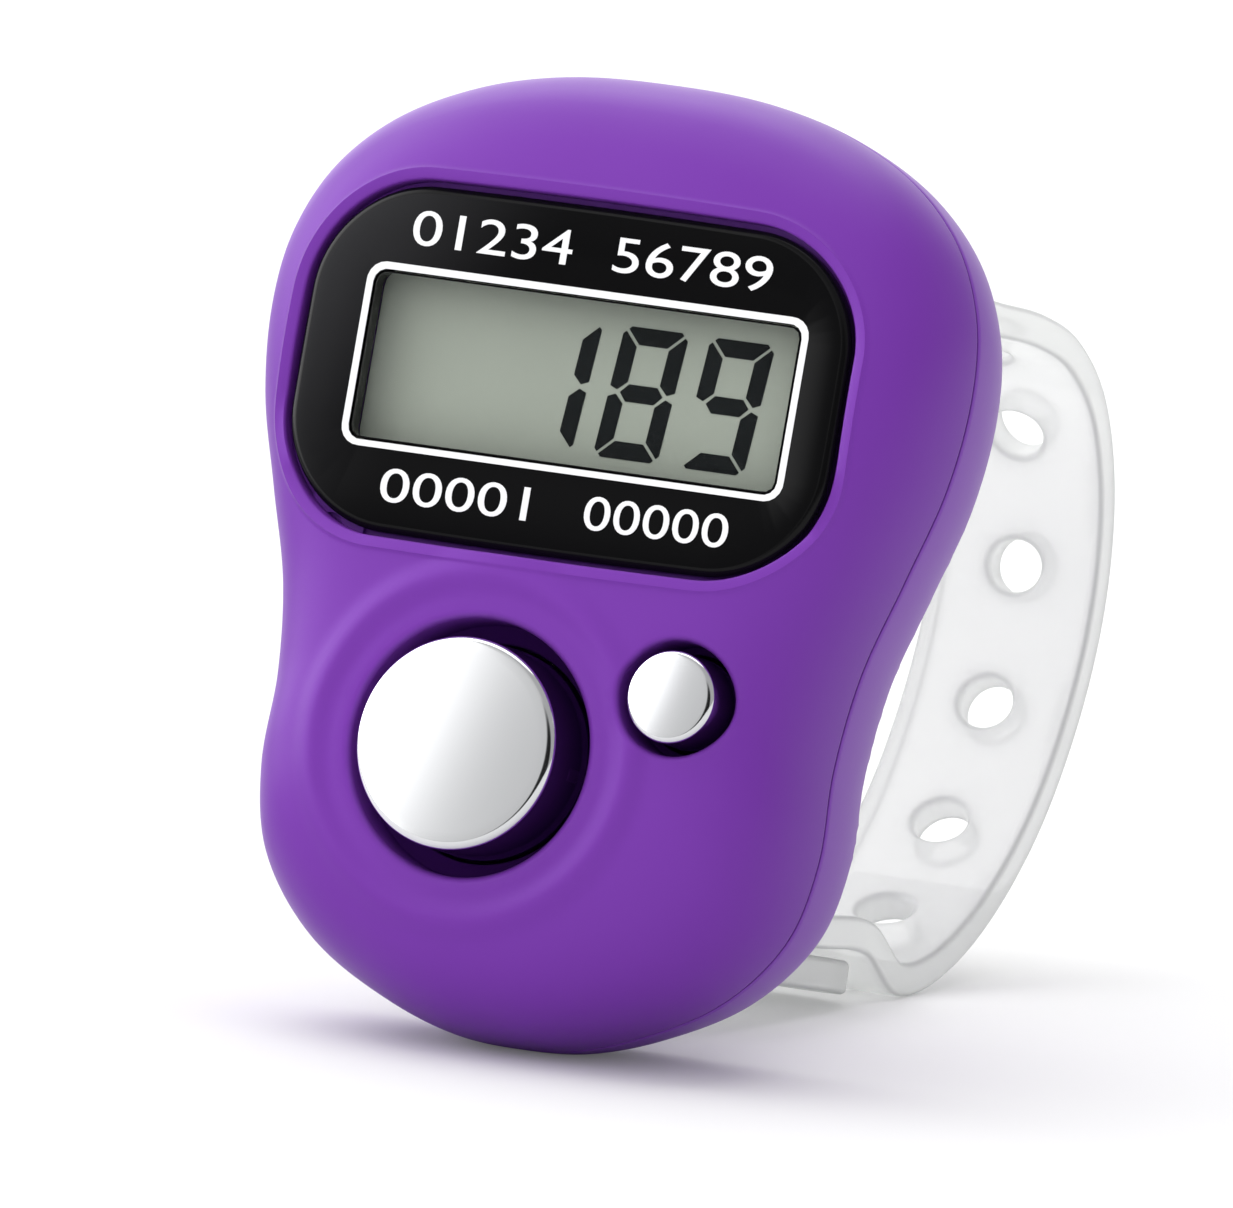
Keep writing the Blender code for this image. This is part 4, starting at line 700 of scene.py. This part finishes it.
def segmentShapes():
    h, w, t, g = digit["height"], digit["width"], digit["thick"], digit["gap"]
    m = h / 2
    cut, outer, inner = digit["cut"], (digit["cut"] + g) / 2, (digit["cut"] - g) / 2
    upperLeft = [(0, h - cut), (inner, h - outer), (t, h - t - g), (t, m + t / 2 + g), (t * 0.45, m + g),
                 (0, m + g * 2.5)]
    middle = [(t * 0.55 + g, m), (t + g, m + t / 2), (w - t - g, m + t / 2), (w - t * 0.55 - g, m),
              (w - t - g, m - t / 2), (t + g, m - t / 2)]
    top = [(cut, h), (w - cut, h), (w - outer, h - inner), (w - t - g, h - t), (t + g, h - t),
           (outer, h - inner)]
    return dict(a=top, d=[(x, h - y) for x, y in top], g=middle, f=upperLeft,
                b=[(w - x, y) for x, y in upperLeft], e=[(x, h - y) for x, y in upperLeft],
                c=[(w - x, h - y) for x, y in upperLeft])


shapes = segmentShapes()
segments = Skin()
for place, lit in enumerate(("bc", "abcdefg", "abcdfg")):
    left = digit["right"] - digit["width"] - digit["pitch"] * (2 - place)
    for letter in lit:
        loop = np.array(shapes[letter], float)
        loop[:, 0] += left + loop[:, 1] * tan(digit["slant"])
        loop[:, 1] += digit["base"]
        outer = segments.add(loop, -digit["front"])
        back = segments.add(loop, -digit["back"])
        segments.strip(outer, back)
        segments.faces += [tuple(outer), tuple(back[::-1])]
makePiece("displaySegments", segments, darkSegment, "case_body")
print("display made")


# Buttons: turned caps with a bevelled rim, a low crown and the flange inside
def makeCap(name, button, node, body, look, points):
    r, face, edge = button["radius"], button["face"], button["edge"]
    profile = [(0, -face)]
    for share in np.linspace(0, 1, 13)[1:]:
        reach = (r - edge) * share
        profile.append((reach, -(face - button["crown"] * share ** 2)))
    rimDepth = face - button["crown"]
    profile += [(r - edge + inset, -(rimDepth - down)) for inset, down in
                [(edge * np.sin(a), edge * (1 - np.cos(a))) for a in np.linspace(0, pi / 2, 9)[1:]]]
    profile += [(r, -(button["flangeFront"] + 0.05)), (r + 0.05, -button["flangeFront"]),
                (button["flange"] - 0.08, -button["flangeFront"]),
                (button["flange"], -button["flangeFront"] + 0.08),
                (button["flange"], -button["flangeBack"]), (button["hollow"], -button["flangeBack"]),
                (button["hollow"], -button["ceiling"]), (0, -button["ceiling"])]
    cap = Skin()
    cap.lathe(profile, button["centre"], points)
    makePiece(name, cap, look, body, [node], sharp=50)


countChrome = makeLook("countChrome", (240, 241, 243), 0.10, metallic=1.0, grain=60, change=0.02)
resetChrome = makeLook("resetChrome", (234, 235, 238), 0.11, metallic=1.0, grain=60, change=0.02)
# Painted shade: each cap's chrome falls to a darker grey towards the lower right
for look, button, width, level in ((countChrome, count, 4.2, -8.4), (resetChrome, reset, 2.4, -7.35)):
    middle = (button["centre"][0], level, button["centre"][1])
    paintedShadeGradient(look, (214, 215, 217), width, middle, (1, 0, -0.55))
makeCap("countCap", count, "count_button", "count_button_body", countChrome, 160)
makeCap("resetCap", reset, "reset_button", "reset_button_body", resetChrome, 112)
print("buttons made")


# Straps: flat bands with round-edged holes, mapped along the loop's middle line
band = dict(width=7.6, thick=1.4, edge=0.26, hole=1.12, holeFillet=0.34, pitch=6.15, headWidth=9.2,
            headLength=1.5, headRound=0.4, neckRound=0.2, anchor=2.6, reach=40.52,
            drop=28.5, low=-14.2, lift=1.7, tip=3.6, spacing=0.42,
            # painted shade along the rounded corners and the hole rims
            cornerShades=[0.3, 0.8, 1.0, 0.7, 0.3, 0.1], holeShade=0.7)
longShares = [(0, 1), (.38, 1.003), (.62, 1.007), (.741, 1.012), (.830, .996), (.915, .935), (.975, .820),
              (1, .670), (.985, .500), (.920, .300), (.790, .118), (.659, .046)]
lapShares = [(.568, .028), (.4434, .016), (.2875, 0), (.2193, 0)]
shortShares = [(0, 0), (.2875, 0), (.4434, .016), (.583, .028)]


def linePoint(share, lift=0.0):
    return band["anchor"] + share[0] * band["reach"], band["low"] + share[1] * band["drop"] + lift


def makeRoute(points):
    # Running length, middle line (depth, height) and its unit direction
    line = smoothLine(points, 60)
    reach = np.concatenate([[0], np.cumsum(np.linalg.norm(np.diff(line, axis=0), axis=1))])
    even = np.linspace(0, reach[-1], 1200)
    line = np.stack([np.interp(even, reach, line[:, k]) for k in range(2)], 1)
    along = np.gradient(line, even, axis=0)
    along /= np.linalg.norm(along, axis=1)[:, None]
    return dict(length=reach[-1], even=even, line=line, along=along)


longRoute = makeRoute([linePoint(s) for s in longShares] + [linePoint(s, band["lift"]) for s in lapShares])
shortRoute = makeRoute([linePoint(s) for s in shortShares])


def alongRoute(route, side):
    # (s, h, x) -> x, line(s) + h * normal(s); the normal points to the finger
    def place(points):
        s, h, x = np.asarray(points, float).T
        line = [np.interp(s, route["even"], route["line"][:, k]) for k in range(2)]
        along = [np.interp(s, route["even"], route["along"][:, k]) for k in range(2)]
        depth = line[0] + h * -along[1] * side
        height = line[1] + h * along[0] * side
        return toWorld(np.stack([x, depth, height], 1))
    return place


def bandOutline(length, tipLength, tipPower, tipFlat):
    # The band's edge moved inwards: round T head corners, straight sides, a tip of half * cos(a)^power
    def at(inset):
        half, head, end = band["width"] / 2 - inset, band["headWidth"] / 2, band["headLength"]
        outer, inner = band["headRound"] - inset, band["neckRound"] + inset
        turn = np.linspace(0, pi / 2, 6)
        corner = head - band["headRound"]
        right = [(band["headRound"] - outer * np.cos(a), corner + outer * np.sin(a)) for a in turn]
        right += [(end - band["headRound"] + outer * np.sin(a), corner + outer * np.cos(a)) for a in turn]
        right += [(end + band["neckRound"] - inner * np.cos(a),
                   band["width"] / 2 + band["neckRound"] - inner * np.sin(a)) for a in turn]
        straight = length - tipLength
        right += [(s, half) for s in np.linspace(2.1, straight, int((straight - 2.1) / 0.4))]
        for a in np.linspace(0, pi / 2, 26)[1:]:
            side = half * max(np.cos(a), 0) ** tipPower
            right.append((length - tipLength + (tipLength - inset) * np.sin(a), max(side, tipFlat)))
        right = np.array(right)
        if tipFlat:
            return np.vstack([right, right[::-1] * [1, -1]])
        return np.vstack([right[:-1], [[length - inset, 0.0]], right[:-1][::-1] * [1, -1]])
    return at


def makeBand(name, route, side, outline, holes, node, stud=None):
    skin = Skin()
    shapes = [lambda grow, s=s: circleLoop(band["hole"] + grow, (s, 0), 56) for s in holes]
    loops = [lambda inset: outline(inset * band["edge"] / band["holeFillet"])]
    frontRows, backRows, corner = [], [], []
    for shape in loops + shapes:
        narrow = shape is loops[0]
        rings = []
        for inset, down in arc(band["holeFillet"], 5):
            drop = down * (band["edge"] / band["holeFillet"] if narrow else 1)
            rings.append((shape(inset), -band["thick"] / 2 + drop))
        rings += [(loop, -depth) for loop, depth in reversed(rings)]
        frontRows.append(skin.add(*rings[0]))
        backRows.append(skin.run(frontRows[-1], rings[1:]))
        # Painted shade for each ring of the rounded edge, none on the flat faces
        shades = band["cornerShades"] + band["cornerShades"][::-1]
        corner.append(np.repeat(shades, len(frontRows[-1])) * (1 if narrow else band["holeShade"]))
    for loops, depth in ((frontRows, -band["thick"] / 2), (backRows, band["thick"] / 2)):
        skin.fill(loops[0], loops[1:], band["spacing"], lambda u, w, depth=depth: np.full(len(u), depth))
    if stud is not None:
        start = None
        for radius, height in stud["profile"]:
            loop = circleLoop(max(radius, 1e-4), (stud["at"], 0), 40)
            row = skin.add(loop, height)
            if start is not None:
                skin.strip(start, row)
            else:
                skin.fan(row, (stud["at"], height, 0))
            start = row
        skin.fan(start, (stud["at"], stud["profile"][-1][1], 0))
    made = makePiece(name, skin, clearStrap, "case_body", [node], sharp=45,
                     place=alongRoute(route, side))
    marks = np.zeros(len(skin.points))
    marks[:sum(len(shades) for shades in corner)] = np.concatenate(corner)
    made.data.attributes.new("corner", "FLOAT", "POINT").data.foreach_set("value", marks)


# The stud of the short half sits in a hole of the long one; the other holes are set off from there
stud = dict(share=0.53, neck=0.92, root=0.2, head=1.75, chamfer=0.1, rim=0.3, dome=0.6, tip=0.3,
            firstHole=9.0, lastHole=3.2)
studDepth = linePoint((stud["share"], 0))[0]
rearPart = longRoute["even"] > longRoute["length"] / 2
studHole = longRoute["even"][rearPart][np.abs(longRoute["line"][rearPart, 0] - studDepth).argmin()]
holes = [studHole + band["pitch"] * k for k in range(-30, 30)]
holes = [s for s in holes if stud["firstHole"] < s < longRoute["length"] - stud["lastHole"]]
studAt = shortRoute["even"][np.abs(shortRoute["line"][:, 0] - studDepth).argmin()]
neckTop = band["thick"] / 2 + band["lift"] + 0.3
domeBase = neckTop + stud["rim"]
studProfile = [(stud["neck"], stud["root"]), (stud["neck"], neckTop),
               (stud["head"] - stud["chamfer"], neckTop), (stud["head"], neckTop + 0.06),
               (stud["head"], domeBase)]
studProfile += [(stud["head"] * np.cos(a), domeBase + stud["dome"] * np.sin(a))
                for a in np.linspace(0, pi / 2, 9)[1:-1]]
studProfile.append((stud["tip"], domeBase + stud["dome"]))
makeBand("strapLong", longRoute, -1, bandOutline(longRoute["length"], 3.8, 1.0, 0.0), holes, "strap_long")
makeBand("strapShort", shortRoute, 1, bandOutline(shortRoute["length"], band["tip"], 0.62, 0.6), [],
         "strap_short", dict(at=studAt, profile=studProfile))
print("straps made, middle lines in mm:", round(longRoute["length"], 1), round(shortRoute["length"], 1))


# Finishes of the CAD nodes that are shown as they are
finishes = dict(
    lcd_front_glass=displayFilm, lcd_rear_glass=displayGlass, lcd_reflector=reflectorFoil,
    main_board=boardGreen, chip_blob=blackResin, chip_capacitor=chipTan, chip_resistor=chipBlack,
    zebra_strip=darkRubber, foam_strip=greyFoam, count_rubber_dome=darkRubber, reset_rubber_dome=darkRubber,
    count_carbon_pill=carbonBlack, reset_carbon_pill=carbonBlack, button_cell=cellSteel,
    negative_contact=contactMetal, positive_contact=contactMetal, battery_door=rearPurple,
    case_screw_1=screwSteel, case_screw_2=screwSteel, case_screw_3=screwSteel, case_screw_4=screwSteel,
    board_screw_1=screwSteel, board_screw_2=screwSteel, board_screw_3=screwSteel,
)
for node, look in finishes.items():
    shown = frame["nodes"][node]
    shown.data.materials.clear()
    shown.data.materials.append(look)


# Stage: a white floor that keeps the soft shadow, a wide light from the upper left and a pale surround
stage = dict(half=6, lift=0.08, sunPower=1.55, sunAngle=radians(75), sunFrom=(-0.26, 0.28, 0.92))
corners = [(side * stage["half"], back * stage["half"], 0)
           for side, back in ((-1, -1), (1, -1), (1, 1), (-1, 1))]
floorMesh = bpy.data.meshes.new("floor")
floorMesh.from_pydata(corners, [], [(0, 1, 2, 3)])
floor = bpy.data.objects.new("floor", floorMesh)
bpy.context.scene.collection.objects.link(floor)
floorLook = makeLook("whiteFloor", (226, 226, 226), 0.9, grain=3, change=0.0)
nodes, links = floorLook.node_tree.nodes, floorLook.node_tree.links
nodes["Principled BSDF"].inputs["Specular IOR Level"].default_value = 0.05
lifted = nodes.new("ShaderNodeEmission")
path = nodes.new("ShaderNodeLightPath")
level = nodes.new("ShaderNodeMath")
level.operation = "MULTIPLY"
level.inputs[1].default_value = stage["lift"]  # seen by the camera alone, so the floor reaches white
links.new(path.outputs["Is Camera Ray"], level.inputs[0])
links.new(level.outputs["Value"], lifted.inputs["Strength"])
both = nodes.new("ShaderNodeAddShader")
links.new(nodes["Principled BSDF"].outputs["BSDF"], both.inputs[0])
links.new(lifted.outputs["Emission"], both.inputs[1])
links.new(both.outputs["Shader"], nodes["Material Output"].inputs["Surface"])
floorMesh.materials.append(floorLook)

sun = bpy.data.objects.new("softSun", bpy.data.lights.new("softSun", "SUN"))
sun.data.energy = stage["sunPower"]
sun.data.angle = stage["sunAngle"]
sun.rotation_mode = "QUATERNION"
sun.rotation_quaternion = Vector(stage["sunFrom"]).to_track_quat("Z", "Y")
bpy.context.scene.collection.objects.link(sun)

# The surround is brighter on the left, as a wide soft box would make it; glossy pieces see the box
# brighter still and a dimmer studio straight ahead
world = bpy.data.worlds.new("paleSurround")
bpy.context.scene.world = world
world.use_nodes = True
nodes, links = world.node_tree.nodes, world.node_tree.links
direction = nodes.new("ShaderNodeTexCoord")


def glow(toward, start, end, low, high):
    # low to high as the cosine to a direction goes from start to end
    facing = nodes.new("ShaderNodeVectorMath")
    facing.operation = "DOT_PRODUCT"
    facing.inputs[1].default_value = Vector(toward).normalized()
    links.new(direction.outputs["Generated"], facing.inputs[0])
    ramp = nodes.new("ShaderNodeMapRange")
    ramp.interpolation_type = "SMOOTHSTEP"
    for socket, value in (("From Min", start), ("From Max", end), ("To Min", low), ("To Max", high)):
        ramp.inputs[socket].default_value = value
    links.new(facing.outputs["Value"], ramp.inputs["Value"])
    return ramp.outputs["Result"]


def combine(first, second, operation, clamp=False):
    node = nodes.new("ShaderNodeMath")
    node.operation = operation
    node.use_clamp = clamp
    for socket, value in zip(node.inputs, (first, second)):
        links.new(value, socket)
    return node.outputs["Value"]


around = nodes["Background"]
around.inputs["Color"].default_value = (1, 1, 1, 1)
links.new(glow((-0.60, -0.78, 0.20), -0.6, 0.9, 0.46, 1.42), around.inputs["Strength"])
mirrored = nodes.new("ShaderNodeBackground")
mirrored.inputs["Color"].default_value = (1, 1, 1, 1)
softBoxes = [glow((-0.88, -0.35, 0.32), 0.72, 1.0, 0.0, 6.5), glow((-0.75, -0.63, 0.20), 0.86, 1.0, 0.0, 0.5),
             glow((-0.60, 0.75, 0.30), 0.50, 1.0, 0.0, 1.3)]
darkGap = glow((0.40, -0.91, -0.07), 0.72, 0.86, 1.0, 0.03)  # gives the chromed rims their dark line
box = combine(glow((-0.30, -0.93, 0.20), 0.60, 1.0, 0.5, 0.74), darkGap, "MULTIPLY")
for another in softBoxes:
    box = combine(box, another, "ADD")
links.new(box, mirrored.inputs["Strength"])
seen = nodes.new("ShaderNodeBackground")
seen.inputs["Color"].default_value = (1, 1, 1, 1)
path = nodes.new("ShaderNodeLightPath")
clearWay = combine(path.outputs["Is Camera Ray"], path.outputs["Is Transmission Ray"], "ADD", True)
indoors = nodes.new("ShaderNodeMixShader")
links.new(path.outputs["Is Glossy Ray"], indoors.inputs["Fac"])
links.new(around.outputs["Background"], indoors.inputs[1])
links.new(mirrored.outputs["Background"], indoors.inputs[2])
mixed = nodes.new("ShaderNodeMixShader")
links.new(clearWay, mixed.inputs["Fac"])
links.new(indoors.outputs["Shader"], mixed.inputs[1])
links.new(seen.outputs["Background"], mixed.inputs[2])
links.new(mixed.outputs["Shader"], nodes["World Output"].inputs["Surface"])

# Camera: nearly parallel view, its axes given in the case frame
lens = dict(right=(0.9074, 0.3843, 0.1698), up=(-0.127, -0.1341, 0.9828), toward=(0.4005, -0.9134, -0.0729),
            shiftRight=0.000671, shiftUp=-0.001602, distance=1.946, length=1400, sensor=36)
camera = bpy.data.objects.new("camera", bpy.data.cameras.new("camera"))
bpy.context.scene.collection.objects.link(camera)
axes = [leaning @ Vector(lens[k]).normalized() for k in ("right", "up", "toward")]
camera.data.sensor_width = lens["sensor"]
camera.data.lens = lens["length"]
camera.data.clip_start = 0.01
camera.data.clip_end = 100
camera.rotation_mode = "QUATERNION"
camera.rotation_quaternion = Matrix(axes).transposed().to_quaternion()
camera.location = (caseOrigin + axes[0] * lens["shiftRight"] + axes[1] * lens["shiftUp"]
                   + axes[2] * lens["distance"])
bpy.context.scene.camera = camera
bpy.context.scene.view_settings.view_transform = "Standard"
print("stage made")
